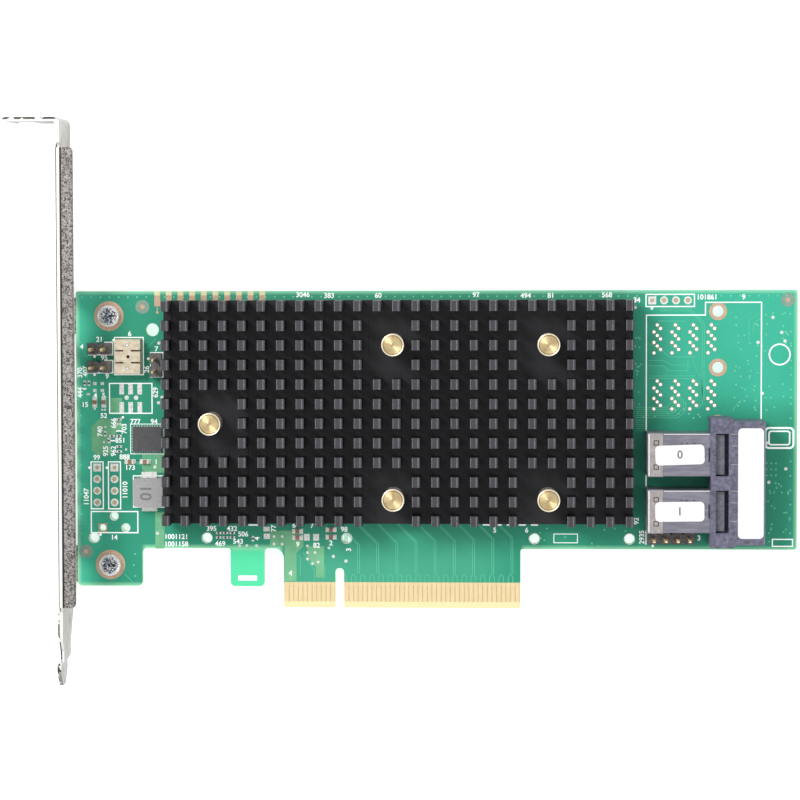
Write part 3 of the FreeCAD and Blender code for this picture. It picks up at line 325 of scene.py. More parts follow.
def plastic(name, first, second, rough, per_mm=1.5, depth=0.02, **sockets):
    """Moulded plastic, ink or fired body: a slow mottle, a fine grain and a matt to silky face."""
    paint = Paint(name, **sockets)
    mottle = paint.noise(per_mm, 5.0, 0.65)
    fine = paint.noise(6.0, 2.0)
    paint.base(paint.tones(mottle, first, second, 0.35, 0.65))
    paint.rough(fine, *rough)
    paint.bump(paint.math("ADD", mottle, fine), depth)
    return paint.material


def anodised_sink():
    """Black anodised extrusion: drawn marks on the fin tops, painted highlights on their edges, painted
    shade on the flanks and floor.
    """
    paint = Paint("black_anodised", Metallic=0.2, Specular_IOR_Level=0.45)
    x, _, z = paint.axes()
    drawn = paint.noise(1.0, 4.0, 0.7, paint.stretched(9.0, 0.25, 1.5))
    tops = paint.tones(drawn, "3A393D", "4E4D52")
    tops = paint.mix(paint.between(paint.noise(0.12, 3.0), 0.4, 0.7, 0.0, 0.3), tops, "463E44")
    across = paint.math("WRAP", paint.math("SUBTRACT", x, FIN_EDGES[0]), FIN_PITCH, 0.0)
    # Painted highlights along both long edges of each fin top, broken up by noise.
    painted_edge_highlight = paint.most(paint.between(across, 0.2, 0.1),
                      paint.inside(across, FIN_WIDTH - 0.5, FIN_WIDTH - 0.34, 0.06))
    highlight_breakup = paint.between(paint.noise(2.4, 3.0, 0.7), 0.35, 0.6, 0.25, 0.9)
    tops = paint.mix(paint.both(painted_edge_highlight, highlight_breakup), tops, "86858A")
    # Painted shade: the flanks and the floor between the fins are darker than the tops.
    flanks = paint.tones(drawn, "1E1D20", "2A282D")
    paint.base(paint.tones(z, flanks, tops, sink_high.z - 0.3, sink_high.z - 0.08))
    paint.rough(drawn, 0.42, 0.6)
    paint.bump(drawn, 0.02)
    return paint.material


def nearest_of(paint, places):
    """Distance across the board to the nearest of some places."""
    x, y, _ = paint.axes()
    nearest = 1000.0
    for across, up in places:
        dx = paint.math("SUBTRACT", x, across)
        dy = paint.math("SUBTRACT", y, up)
        squares = paint.math("ADD", paint.both(dx, dx), paint.both(dy, dy))
        nearest = paint.math("MINIMUM", paint.math("SQRT", squares), nearest)
    return nearest


def turned_brass():
    """Brass faced on a lathe: rings round each pin's own centre, and painted light round the edge of each
    head.
    """
    paint = Paint("turned_brass", Metallic=0.6)
    nearest = nearest_of(paint, PINS)
    rings = paint.math("SINE", paint.math("MULTIPLY", nearest, 38.0))
    smear = paint.noise(0.8, 3.0)
    tone = paint.tones(smear, "CFB482", "E9D6A6", 0.35)
    tone = paint.mix(paint.between(rings, -1.0, 1.0, 0.0, 0.22), tone, "A5864F")
    tone = paint.mix(paint.between(nearest, 0.5, 0.2, 0.0, 0.5), tone, "8E6F42")
    # Painted light at each head's edge: a dark shade line, then a bright highlight out to the rim.
    tone = paint.mix(paint.inside(nearest, 1.96, 2.06, 0.05), tone, "7E6338")
    tone = paint.mix(paint.between(nearest, 2.08, 2.16), tone, "FFF4D8")
    paint.base(tone)
    paint.rough(smear, 0.26, 0.4)
    paint.bump(paint.math("ADD", rings, smear), 0.012)
    return paint.material


def nickel_screw():
    """Bright plated head whose recess mirrors the room in small dark flecks."""
    paint = Paint("nickel_screw", Metallic=0.5)
    recess = paint.between(nearest_of(paint, SCREWS), 2.1, 1.6)
    fleck = paint.between(paint.noise(2.4, 4.0, 0.7), 0.47, 0.53)
    blue = paint.between(paint.noise(0.9, 1.0), 0.4, 0.6)
    head = paint.tones(paint.noise(0.8, 3.0), "FFFFFF", "CFCCCA", 0.55, 0.75)
    paint.base(paint.mix(paint.both(recess, fleck), head, paint.mix(blue, "1C1513", "164D74")))
    paint.rough(fleck, 0.18, 0.34, 0.0, 1.0)
    paint.bump(fleck, 0.05)
    return paint.material


def folded_steel():
    """Plated sheet: a painted highlight makes its upward faces and the plate's top band near white, grey on
    its upright faces, and a dark painted reflection, speckled with fine pits, along the flange.
    """
    paint = Paint("folded_steel", Metallic=0.35)
    x, y, z = paint.axes()
    flat = paint.facing_up()
    # Painted highlight: upward faces and a band along the top of the plate turn near white.
    rim = paint.most(flat, paint.between(z, BRACKET_TOP - 1.5, BRACKET_TOP - 1.4))
    beside_board = paint.inside(y, 1.2, 100.4, 0.4)
    flange = paint.both(flat, paint.between(x, LEFT - 1.55, LEFT - 1.45), beside_board)
    speck = paint.noise(1.9, 5.0, 0.8)
    # Painted reflection: the flange mirrors the dark room, speckled with fine pits and pale flecks, darker
    # in a line next to the bend and towards its free edge.
    pitted_dark_reflection = paint.tones(speck, "352E2C", "ABA5A1", 0.44, 0.54)
    pitted_dark_reflection = paint.tones(paint.noise(8.0, 2.0), pitted_dark_reflection, "F4F2F0", 0.58, 0.68)
    pitted_dark_reflection = paint.mix(paint.between(x, LEFT + 0.9, LEFT + 1.4, 0.0, 0.55), pitted_dark_reflection, "3A3230")
    pitted_dark_reflection = paint.mix(paint.inside(x, LEFT - 1.5, LEFT - 1.1, 0.06), pitted_dark_reflection, "2E2826")
    brushed = paint.noise(1.0, 3.0, 0.6, paint.stretched(4.0, 0.3, 0.3))
    plate = paint.tones(brushed, "8F8D8A", "B4B2AE")
    tone = paint.mix(flange, paint.mix(rim, plate, "FAF9F6"), pitted_dark_reflection)
    dash = paint.between(paint.noise(0.9, 2.0), 0.44, 0.5)
    edge = paint.between(x, LEFT - 2.12, LEFT - 2.2)
    lines = paint.most(paint.both(edge, beside_board), paint.both(paint.between(y, 105.7, 105.9), dash),
                       paint.both(paint.between(y, 1.2, 0.8), dash, edge))
    short_of_tab_end = paint.between(x, LEFT - 14.0, LEFT - 13.8)
    paint.base(paint.mix(paint.both(rim, lines, short_of_tab_end), tone, "4E4845"))
    paint.rough(speck, 0.5, 0.3, 0.35, 0.65)
    paint.bump(speck, 0.05)
    return paint.material


def port_plastic():
    """Mottled grey moulding whose shallow grooves catch the light."""
    housing_top = box_mm("port_housing")[1].z
    paint = Paint("port_plastic", Specular_IOR_Level=0.4)
    _, _, z = paint.axes()
    mottle = paint.noise(1.3, 5.0, 0.65)
    tone = paint.tones(mottle, "4C4C5A", "82829A")
    groove = paint.both(paint.inside(z, housing_top - 0.22, housing_top - 0.18, 0.02), paint.facing_up())
    paint.base(paint.mix(groove, tone, "BDBDCA"))
    paint.rough(mottle, 0.42, 0.6)
    paint.bump(mottle, 0.05)
    return paint.material


MASK = solder_mask()
FILL = lacquered_copper("lacquered_fill", "6FB98A", "86CC9C")
TRACE = lacquered_copper("lacquered_trace", "58C79E", "6CD4AC")
VIA = lacquered_copper("lacquered_via", "62CFA8", "7FDDBB")
# The ink glows faintly: painted light that keeps the print white.
INK = plastic("printed_ink", "F2FBF7", "FFFFFF", (0.5, 0.7), 6.0, 0.005, Specular_IOR_Level=0.3,
              Emission_Strength=0.3, Emission_Color=WHITE)
GOLD = metal("gold_contacts", "F3D9A2", "FDE9BE", (0.3, 0.44), 1.0, (7.0, 0.35, 1.0), 0.006, 0.12)
PIN_GOLD = metal("pin_gold", "E8C98A", "F8E7BC", (0.2, 0.34), 4.0)
COPPER = metal("bare_copper", "CFA88A", "E2C4AC", (0.35, 0.5), 3.0, metallic=0.3)
TIN = metal("solder_tin", "EDEEEA", "FFFFFD", (0.22, 0.36), 2.0, depth=0.015, metallic=0.25)
NICKEL = nickel_screw()
SHIELD = metal("shield_nickel", "83818F", "9A98A6", (0.34, 0.46), 0.8, (0.3, 2.0, 1.0), 0.006)
LIP = metal("shield_lip", "ABA4A3", "C4BDBA", (0.28, 0.4), 1.6, (1.0, 0.4, 1.0), 0.008)
# Near-white painted highlight for the shields' bends and lit edges.
BEND_HIGHLIGHT = metal("bright_bend", "F2F2F0", "FFFFFF", (0.3, 0.4), 2.0, metallic=0.2)
SPRING = metal("spring_wire", "8F8A80", "C9C4B8", (0.2, 0.32), 3.0)
BRACKET = folded_steel()
SINK = anodised_sink()
BRASS = turned_brass()
PORT = port_plastic()
CARRIER = plastic("carrier_plastic", "5C5E6A", "7E808C", (0.4, 0.55))
HEADER = plastic("header_plastic", "454140", "7A7674", (0.3, 0.5), 1.8, 0.04)
CREAM = plastic("cream_plastic", "C8BAA0", "EADDC6", (0.4, 0.55), 0.8, 0.02, Subsurface_Weight=0.1,
                Subsurface_Scale=mm(0.6))
EPOXY = plastic("chip_epoxy", "4E4E51", "5A5A5C", (0.42, 0.58), 0.8, 0.01)
FERRITE = plastic("pressed_ferrite", "A6A4A5", "B8B6B7", (0.4, 0.55), 2.5, 0.02)
CERAMIC = plastic("capacitor_ceramic", "8B6B4E", "A98664", (0.35, 0.5), 2.0, 0.01)
RESISTOR = plastic("resistor_body", "26262B", "3A3A40", (0.3, 0.45), 3.0, 0.01)
LID = metal("chip_lid", "A8A6A4", "C9C8C6", (0.3, 0.45), 1.5)
GREASE = plastic("thermal_pad", "77777B", "8D8D92", (0.6, 0.75))
LABEL = plastic("blank_sticker", "FBFBFB", "FFFFFF", (0.5, 0.65), 5.0, 0.008, Specular_IOR_Level=0.3)
LABEL_INK = plastic("label_ink", "77777A", "8C8C90", (0.5, 0.6), 4.0, 0.005)
SHADE = plastic("deep_shade", "1E1E24", "33333C", (0.6, 0.8))
SEEN_THROUGH = plastic("light_through_hole", "FAFFFC", "FFFFFF", (0.6, 0.8), Emission_Strength=0.9,
                       Emission_Color=WHITE)
GAP_LINE = plastic("contact_gap", "C39F66", "DDBD88", (0.5, 0.65), 3.0, 0.01)
LAMINATE = plastic("bare_laminate", "7FA18F", "93AD9C", (0.5, 0.6))
BARE_EDGE = plastic("bare_edge", "E9E4AE", "F5F1C6", (0.4, 0.5))
FLUX = plastic("filled_hole", "B9AE8C", "CDBF96", (0.35, 0.5), 3.0, 0.03)


# --- geometry helpers: millimetres in, metres out ---

def placed(name, data):
    """A new object in the scene."""
    made = bpy.data.objects.new(name, data)
    bpy.context.scene.collection.objects.link(made)
    return made


def dressed(made, material):
    """Puts a piece on the card's one body, with its material."""
    made.data.materials.clear()
    made.data.materials.append(material)
    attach(made, "root")
    return made


def piece(name, build, material):
    """A mesh piece filled in by build(bm)."""
    mesh = bpy.data.meshes.new(name)
    bm = bmesh.new()
    build(bm)
    bmesh.ops.recalc_face_normals(bm, faces=bm.faces)
    bm.to_mesh(mesh)
    bm.free()
    return dressed(placed(name, mesh), material)


def skin(bm, rings):
    """Walls from each ring of points to the next."""
    for one, two in zip(rings, rings[1:]):
        for i in range(len(one)):
            j = (i + 1) % len(one)
            bm.faces.new((one[i], one[j], two[j], two[i]))


def solid(bm, rings):
    """Walls through the rings, closed by a face at either end."""
    bm.faces.new(rings[0])
    bm.faces.new(rings[-1])
    skin(bm, rings)


def prism(bm, outline, low, high):
    """A flat plate with the given outline between two heights."""
    solid(bm, [[bm.verts.new(mm(x, y, z)) for x, y in outline] for z in (low, high)])


def circle(x, y, radius, sides=20):
    return [(x + radius * math.cos(2 * math.pi * i / sides), y + radius * math.sin(2 * math.pi * i / sides))
            for i in range(sides)]


def rectangle(left, low, right, high):
    return [(left, low), (right, low), (right, high), (left, high)]


def bar(bm, left, low, right, high, bottom, top):
    prism(bm, rectangle(left, low, right, high), bottom, top)


def washer(bm, x, y, outer, inner, low, high, sides=32):
    """A flat ring."""
    rings = [[bm.verts.new(mm(px, py, z)) for px, py in circle(x, y, radius, sides)]
             for radius, z in ((inner, low), (inner, high), (outer, high), (outer, low))]
    skin(bm, rings + rings[:1])


def stroke(bm, points, width, low, high, closed=False):
    """A printed or etched line of even width through the points, with mitred corners."""
    path = [Vector(p) for p in points]
    count = len(path)
    sides = ([], [])
    for i, point in enumerate(path):
        back = path[i] - path[i - 1] if closed or i else path[1] - path[0]
        ahead = path[(i + 1) % count] - path[i] if closed or i < count - 1 else back
        back, ahead = back.normalized(), ahead.normalized()
        across = Vector((-(back + ahead).y, (back + ahead).x)).normalized()
        reach = width / 2 / max(0.35, across.dot(Vector((-ahead.y, ahead.x))))
        for side, sign in zip(sides, (1, -1)):
            side.append(tuple(point + across * reach * sign))
    for i in range(count if closed else count - 1):
        j = (i + 1) % count
        prism(bm, [sides[0][i], sides[0][j], sides[1][j], sides[1][i]], low, high)


def turned(bm, x, y, profile, sides=16):
    """A solid of revolution about an upright axis, from (radius, height) points that end on the axis."""
    rings = []
    for radius, z in profile:
        if radius == 0:
            rings.append([bm.verts.new(mm(x, y, z))])
        else:
            rings.append([bm.verts.new(mm(px, py, z)) for px, py in circle(x, y, radius, sides)])
    for one, two in zip(rings, rings[1:]):
        for i in range(sides):
            j = (i + 1) % sides
            corners = [one[i % len(one)], one[j % len(one)], two[j % len(two)], two[i % len(two)]]
            bm.faces.new(list(dict.fromkeys(corners)))


def soften(target, width):
    """Rounds a piece's sharp edges by a width in millimetres."""
    bevel = target.modifiers.new("rounded_edges", "BEVEL")
    bevel.width = mm(width)
    bevel.segments = 2
    bevel.limit_method = "ANGLE"
    bevel.angle_limit = math.radians(35)
    return target


# --- carried-over CAD nodes ---

FINISHES = (
    (MASK, "circuit_board"), (GOLD, "edge_contacts_front edge_contacts_back"), (COPPER, "top_edge_pads"),
    (BRACKET, "mounting_bracket"), (NICKEL, "bracket_screws"), (SINK, "heat_sink"), (BRASS, "push_pins"),
    (EPOXY, "chip_carrier memory_chips logic_chip"), (LID, "chip_lid"),
    (GREASE, "chip_thermal_pad memory_thermal_strips"), (PORT, "port_housing"),
    (SHIELD, "port_shield_1 port_shield_2"), (CARRIER, "contact_carrier_1 contact_carrier_2"),
    (PIN_GOLD, "port_terminals_1 port_terminals_2"),
    (LABEL, "shield_label_1 shield_label_2 housing_label"), (HEADER, HEADER_BASES), (CREAM, "power_socket"),
    (TIN, "port_board_locks power_socket_pins inductor_straps capacitor_ends resistor_ends"),
    (FERRITE, "power_inductor"), (CERAMIC, "capacitor_bodies"), (RESISTOR, "resistor_bodies"),
)

# Widths of the rounded edges
ROUNDED = (
    (0.28, "push_pins"), (0.22, "bracket_screws power_inductor"), (0.16, "heat_sink port_housing"),
    (0.14, HEADER_BASES), (0.14, "power_socket"), (0.12, "power_socket_pins"),
    (0.1, "port_shield_1 port_shield_2"), (0.08, "mounting_bracket capacitor_ends"), (0.07, "logic_chip"),
    (0.06, "capacitor_bodies inductor_straps"), (0.05, "resistor_ends"),
    (0.03, "resistor_bodies shield_label_1 shield_label_2 housing_label"),
)


def finish_nodes():
    for finish, nodes in FINISHES:
        for node in nodes.split():
            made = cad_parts[node]
            made.data.materials.clear()
            made.data.materials.append(finish)
    for width, nodes in ROUNDED:
        for node in nodes.split():
            soften(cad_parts[node], width)


# --- pieces that replace CAD nodes ---

def coil_springs():
    """Wound springs with closed, flat ends, one round each push pin's shank."""
    low, high = box_mm("push_pin_springs")
    wire, radius, turns, sides, per_turn = 0.26, 2.05, 6, 10, 28
    bottom, top = low.z + wire, high.z - wire

    def height(turn):
        """Flat for the first and last turn, an even climb between."""
        return bottom + (top - bottom) * min(max((turn - 0.9) / (turns - 1.8), 0.0), 1.0)

    def build(bm):
        for px, py in PINS:
            rings = []
            for step in range(turns * per_turn + 1):
                turn = step / per_turn
                angle = 2 * math.pi * turn
                out = Vector((math.cos(angle), math.sin(angle), 0))
                centre = Vector((px, py, height(turn))) + out * radius
                ring = []
                for side in range(sides):
                    lean = 2 * math.pi * side / sides
                    point = centre + (out * math.cos(lean) + Vector((0, 0, 1)) * math.sin(lean)) * wire
                    ring.append(bm.verts.new(point * MM))
                rings.append(ring)
            solid(bm, rings)

    made = piece("push_pin_coils", build, SPRING)
    for face in made.data.polygons:
        face.use_smooth = True
    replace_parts(made, "push_pin_springs")


def pointed_posts(header):
    """Square posts drawn to a point at both ends, in place of plain bars."""
    node = f"{header}_posts"
    low, high = box_mm(node)
    half = 0.32
    draw = half * 1.6

    def build(bm):
        for x, y in middles(node):
            levels = [(0.35, low.z), (1.0, low.z + draw), (1.0, high.z - draw), (0.35, high.z)]
            rings = [[bm.verts.new(mm(x + sx * half * share, y + sy * half * share, z))
                      for sx, sy in ((-1, -1), (1, -1), (1, 1), (-1, 1))] for share, z in levels]
            solid(bm, rings)

    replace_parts(soften(piece(f"{header}_pointed_posts", build, PIN_GOLD), 0.05), node)


# --- plated and etched board detail ---

PITCH = 2.54
EMPTY_ROW_STEPS = [PITCH * (i - 1.5) for i in range(4)]
PORT_LEFT = box_mm("port_shield_1")[0].x
EMPTY_ROWS = [[(LEFT + 4.4, 26.7 - step) for step in EMPTY_ROW_STEPS],
              [(LEFT + 8.2, 26.7 - step) for step in EMPTY_ROW_STEPS],
              [(PORT_LEFT + 5.25 + step, TOP - 2.25) for step in EMPTY_ROW_STEPS]]
SPARE_HOLES = [(LEFT + 8.1 - PITCH, 19.9 - PITCH), (LEFT + 8.1, 19.9), (LEFT + 8.1 + PITCH, 19.9 - PITCH)]
GUIDE_HOLES = [(LEFT + inset, 15.2) for inset in (3.7, 28.4, 58.8, 99.4, 119.85)]
FIDUCIALS = [(-42.7, TOP - 3.4), (LEFT + 1.85, 12.17), (RIGHT - 2.06, TOP - 2.2)]


def plated_holes():
    """The row of holes that takes the port's locks, carried on up the board for a taller port."""
    x, first = BOARD_LOCKS[0]
    pitch = BOARD_LOCKS[1][1] - first
    return [(x, first + pitch * i) for i in range(5)]


def solder_tails(bm):
    """Low cones of solder round each post on the back of the board."""
    nodes = [f"{name}_posts" for name in HEADERS] + ["power_socket_pins"]
    for x, y in (place for node in nodes for place in middles(node)):
        turned(bm, x, y, [(0.42, -1.0), (0.55, -0.45), (0.95, -0.02), (0.0, 0.0)])


def both_faces(bm, x, y, outer, inner, square=False):
    """A pad round a hole, on the front and on the back."""
    for low, high in ((SUNK, PAD_TOP), (BACK_PAD, BACK_SUNK)):
        if square:
            hole = inner * 0.75
            for part in (rectangle(x - outer, y - outer, x + outer, y - hole),
                         rectangle(x - outer, y + hole, x + outer, y + outer),
                         rectangle(x - outer, y - hole, x - hole, y + hole),
                         rectangle(x + hole, y - hole, x + outer, y + hole)):
                prism(bm, part, low, high)
        else:
            washer(bm, x, y, outer, inner, low, high, 28)


def tinned_rings(bm):
    for row in EMPTY_ROWS:
        for i, (x, y) in enumerate(row):
            both_faces(bm, x, y, 0.86, 0.5, square=i == 0)
    for x, y in SPARE_HOLES[1:]:
        both_faces(bm, x, y, 1.0, 0.74)


def filled_holes(bm):
    """Solder and flux that close the holes of the empty rows."""
    for x, y in (place for row in EMPTY_ROWS for place in row):
        prism(bm, circle(x, y, 0.52), 0.2, FACE - 0.04)


def copper_rings(bm):
    """Bare rings at the bracket screws, the plated holes, the square first pad and the fiducials."""
    for x, y in SCREWS:
        washer(bm, x, y, 3.22, 1.6, SUNK, PAD_TOP, 48)
        washer(bm, x, y, 2.3, 1.6, BACK_VIA, BACK_SUNK, 48)
    for x, y in plated_holes():
        both_faces(bm, x, y, 1.93, 1.2)
    both_faces(bm, *SPARE_HOLES[0], 0.95, 0.95, square=True)
    for x, y in FIDUCIALS:
        prism(bm, circle(x, y, 0.5), SUNK, VIA_TOP)


def guide_rims(bm):
    """Narrow plated rims of the guide holes along the lower edge."""
    for x, y in GUIDE_HOLES:
        washer(bm, x, y, 1.22, 1.04, SUNK, VIA_TOP)


def fiducial_windows(bm):
    """Openings in the lacquer round the fiducials, where laminate shows."""
    for x, y in FIDUCIALS:
        prism(bm, circle(x, y, 1.5, 40), SUNK, FILL_TOP)


def port_holes():
    """Centres of the two fields of small plated holes for a port that isn't fitted, staggered in threes."""
    places = []
    for field_top in (TOP - 7.54, TOP - 19.59):
        for column in range(4):
            for i in range(9):
                across = PORT_LEFT + 1.83 + 3.85 * column + 0.7 * (1, 2, 0)[i % 3]
                places.append((across, field_top - 0.75 * i))
    return places


def hole_lights(bm):
    """Pale bottoms of the small holes that are drawn and not drilled."""
    for x, y in port_holes():
        prism(bm, circle(x, y, 0.27, 12), SUNK, PAD_TOP + 0.002)


def port_hole_rings(bm):
    for x, y in port_holes():
        washer(bm, x, y, 0.43, 0.27, SUNK, PAD_TOP, 14)


def scattered(seed, fields):
    """Random places in fields given by left, low, right, high and count; the seed fixes them."""
    chance = random.Random(seed)
    return [(chance.uniform(left, right), chance.uniform(low, high))
            for left, low, right, high, count in fields for _ in range(count)]


def stitching_vias(bm):
    """Small lacquered vias in rows near the outline, and in loose groups between the parts."""
    spots = [(LEFT + 1.4 + 2.0 * i, TOP - 1.3) for i in range(77)]
    spots += [(LEFT + 0.9, TOP - 12 - 2.15 * i) for i in range(20)]
    spots += [(RIGHT - 1.4, TOP - 9 - 3.1 * i) for i in range(15)]
    spots += [(LEFT + 12.6 - 0.3 * (i % 2), 11.6 - 2.4 * i) for i in range(3)]
    spots += [(91.9 + 1.0 * (i % 3), 29.0 + 1.3 * (i // 3)) for i in range(9)]
    fields = [(-14.0, 35.0, 63.0, TOP - 5, 34), (85.0, 42.5, 97.6, 64.0, 60), (91.8, 14.5, 97.0, 28.0, 26),
              (63.7, 44.0, 65.5, 60.0, 14), (64.5, 41.0, 78.5, 43.5, 14), (40.0, 13.6, 62.0, 17.6, 12)]
    for x, y in spots + scattered(7, fields):
        prism(bm, circle(x, y, 0.21, 10), SUNK, VIA_TOP)


def bent(start, *moves):
    """A path from a start through relative moves."""
    path = [Vector(start)]
    for move in moves:
        path.append(path[-1] + Vector(move))
    return [tuple(point) for point in path]


PAIR_GAP = 0.42


def tab_traces():
    """Short hooks above the contacts, pairs that lean left under the sink, and odd runs beside the key."""
    lines = []
    for i in range(37):
        lines.append(bent((1.5 + i, CONTACT_TOP), (0, 1.1), (0.35 if i % 2 else -0.35, 0.7)))
    for pair in range(9):
        x = 3.9 + 4.15 * pair
        for offset in (0, PAIR_GAP):
            lines.append(bent((x + offset, CONTACT_TOP + 1.9), (0, 6.3 + 0.2 * pair), (-4.0, 4.0)))
    lines += [bent((-9.07, 11.5), (0.52, -0.65), (0, -3.9)), bent((-8.0, 12.1), (2.5, -3.9), (0, -2.4)),
              bent((-4.5, 11.1), (1.3, -2.4), (0, -1.7), (-0.65, -0.9))]
    return lines


def left_traces():
    lines = [bent((-42.0, TOP - 12.6), (2.3, 2.3)), bent((-53.8, TOP - 15.2), (-1.0, -1.0), (0, -4.5)),
             bent((-47.0, 7.3), (1.8, -1.8))]
    for i in range(6):
        lines.append(bent((-39.6 - 0.35 * i, 33.4), (-1.4, -1.4), (-1.8, 0), (-0.8, -0.8)))
    return lines


def port_traces():
    """Runs between the fields of port holes and the port's own shields."""
    lines = [bent((66.5, 57.4), (2.6, -1.2), (1.9, -1.7), (5.8, 0)),
             bent((66.7, 53.75), (3.2, 0), (1.7, -1.0), (3.0, 0)),
             bent((66.7, 52.6), (3.0, 0), (1.3, -1.1), (4.0, 0)), bent((66.7, 50.4), (10.0, 0)),
             bent((66.7, 49.85), (9.6, 0)), bent((68.8, 62.2), (5.8, 0)), bent((75.05, 53.8), (0, -2.4)),
             bent((76.1, 53.8), (0.9, -2.4), (1.0, -1.2), (0.2, -5.6), (-1.1, -1.3)),
             bent((69.0, 64.8), (6.6, 0), (2.9, -3.0), (0, -16.5)),
             bent((69.0, 64.4), (6.4, 0), (2.7, -2.8), (0, -16.2)),
             bent((88.04, 57.9), (0, 4.3), (2.3, 1.7)), bent((89.0, 59.8), (0, 1.7), (1.35, 1.3)),
             bent((84.8, 42.85), (0, 0.65), (1.9, 1.95))]
    for i in range(6):
        lines.append(bent((64.0, 38.6 + 0.45 * i), (1.8, 0)))
        lines.append(bent((64.0, 41.4 + 0.45 * i), (9.0 - 0.5 * i, 0), (1.6, 1.6), (0, 2.0)))
    return lines


def etched_lines(bm):
    for line in tab_traces() + left_traces() + port_traces():
        stroke(bm, line, 0.14, SUNK, TRACE_TOP)


def back_lines(bm):
    """Etched pairs on the back, from the contacts up under the chip, and runs in from the port."""
    lines = []
    for pair in range(10):
        x = 2.6 + 3.6 * pair
        lean = 1.5 + 0.5 * pair
        for offset in (0, PAIR_GAP):
            lines.append(bent((x + offset, CONTACT_TOP), (0, 6.0 + 0.4 * pair), (-lean, lean), (0, 14.0)))
    for i in range(7):
        lines.append(bent((78.0, 22.0 + 1.4 * i), (-6.0, 0), (-2.5, 2.5), (-18.0 + i, 0)))
    for line in lines:
        stroke(bm, line, 0.16, BACK_TRACE, BACK_SUNK)


def back_vias(bm):
    fields = [(16.0, 29.0, 41.0, 53.0, 240), (-20.0, 22.0, -1.5, 60.0, 120), (66.0, 17.5, 80.0, 39.0, 90)]
    for x, y in scattered(11, fields):
        prism(bm, circle(x, y, 0.2, 8), BACK_VIA, BACK_SUNK)


FILLS = [
    [(-54.0, 34.2), (-54.0, 39.4), (-52.3, 41.1), (-47.4, 41.1), (-47.4, 39.2), (-49.8, 36.8), (-49.8, 33.4),
     (-53.2, 33.4)],
    rectangle(-49.9, 42.2, -47.3, 45.7),
    [(-43.0, 33.4), (-38.0, 33.4), (-38.0, 29.4), (-42.2, 29.4), (-43.0, 30.2)],
    rectangle(-40.2, 12.8, -38.2, 20.8),
    [(-15.1, 16.8), (-15.1, 13.4), (-12.0, 13.4), (-12.0, 5.8), (-9.4, 5.8), (-9.4, 12.0), (-7.9, 13.4),
     (-7.9, 16.8)],
    [(-3.4, 6.6), (-3.4, 13.4), (-7.0, 13.4), (-7.0, 10.8), (-5.2, 9.0), (-5.2, 6.6)],
]


def copper_fills(bm):
    for outline in FILLS:
        prism(bm, outline, SUNK, FILL_TOP)


def contact_gaps(bm):
    """Narrow lines of bare laminate between the contacts of both faces, but not across the key."""
    contacts = islands("edge_contacts_front")
    for (_, left), (right, _) in zip(contacts, contacts[1:]):
        if right.x - left.x < 0.5:
            middle = (left.x + right.x) / 2
            for low, high in ((SUNK, FACE + 0.012), (-0.012, BACK_SUNK)):
                bar(bm, middle - 0.05, contacts_low.y, middle + 0.05, CONTACT_TOP - 0.7, low, high)


def lands(bm, places, high=PAD_TOP):
    """Flat lands given by middle, width and height."""
    for x, y, width, tall in places:
        bar(bm, x - width / 2, y - tall / 2, x + width / 2, y + tall / 2, SUNK, high)


def bare_lands(bm):
    """Tinned lands of footprints with no part: six for a chip, and single ones beside the hook."""
    lands(bm, [(x, y, 1.0, 2.5) for x in (-47.35, -45.4, -43.4) for y in (47.7, 43.55)])
    lands(bm, [(x, y, 0.75, 0.68) for x in (-53.2, -51.56) for y in (48.84, 47.31)])
    lands(bm, [(-7.14, 15.38, 1.28, 1.48), (-5.11, 15.38, 1.28, 1.48), (-15.89, 17.15, 1.35, 1.0),
               (-15.83, 15.58, 1.35, 1.2), (-54.65, 46.52, 0.7, 0.5)])


def fitted_lands(bm):
    """Solder lands that reach out past the end caps of each capacitor and resistor."""
    for node, past, beside in (("capacitor_ends", 0.4, 0.12), ("resistor_ends", 0.2, 0.08)):
        for low, high in islands(node):
            across, up = (past, beside) if high.x - low.x < high.y - low.y else (beside, past)
            bar(bm, low.x - across, low.y - up, high.x + across, high.y + up, SUNK, FACE + 0.06)


def test_points(bm):
    """Bright round points of four sizes."""
    points = {
        0.5: [(-46.25, 45.74), (-44.19, 45.74)],
        0.36: [(-39.15, 57.63), (-39.3, 44.65), (-38.57, 45.83), (-40.18, 30.63), (-39.72, 16.18),
               (63.78, 65.15), (93.13, 62.95), (95.01, 59.73), (95.74, 57.88), (89.96, 57.59),
               (90.94, 46.64), (1.37, 10.23), (-1.37, 11.23), (92.4, 27.5), (92.1, 36.0), (96.0, 30.4)],
        0.3: [(-14.27, 15.52), (-12.5, 15.52), (-14.27, 13.88), (-12.5, 13.88), (-21.77, 13.55),
              (-20.2, 13.55), (-18.09, 13.55), (-7.02, 13.48), (-7.02, 12.04), (-5.37, 12.04),
              (-7.02, 10.64), (-5.94, 9.64), (-4.64, 10.0), (-2.32, 13.06)],
        0.24: [(-53.24, 43.32), (-51.6, 43.12), (-51.0, 43.12), (-50.98, 39.37), (-51.27, 36.1),
               (-48.3, 39.98), (-47.7, 39.98), (-46.46, 34.47)],
    }
    for radius, places in points.items():
        for x, y in places:
            prism(bm, circle(x, y, radius, 18), SUNK, PAD_TOP)


def chip_lands(bm):
    """Tinned lands round the logic chip, level with its underside."""
    low, high = box_mm("logic_chip")
    columns, rows, top = 11, 9, FACE + 0.1
    for i in range(columns):
        x = low.x + (high.x - low.x) * (i + 0.5) / columns
        lands(bm, [(x, low.y - 0.07, 0.26, 0.3), (x, high.y + 0.07, 0.26, 0.3)], top)
    for i in range(rows):
        y = low.y + (high.y - low.y) * (i + 0.5) / rows
        lands(bm, [(low.x - 0.07, y, 0.3, 0.26), (high.x + 0.07, y, 0.3, 0.26)], top)


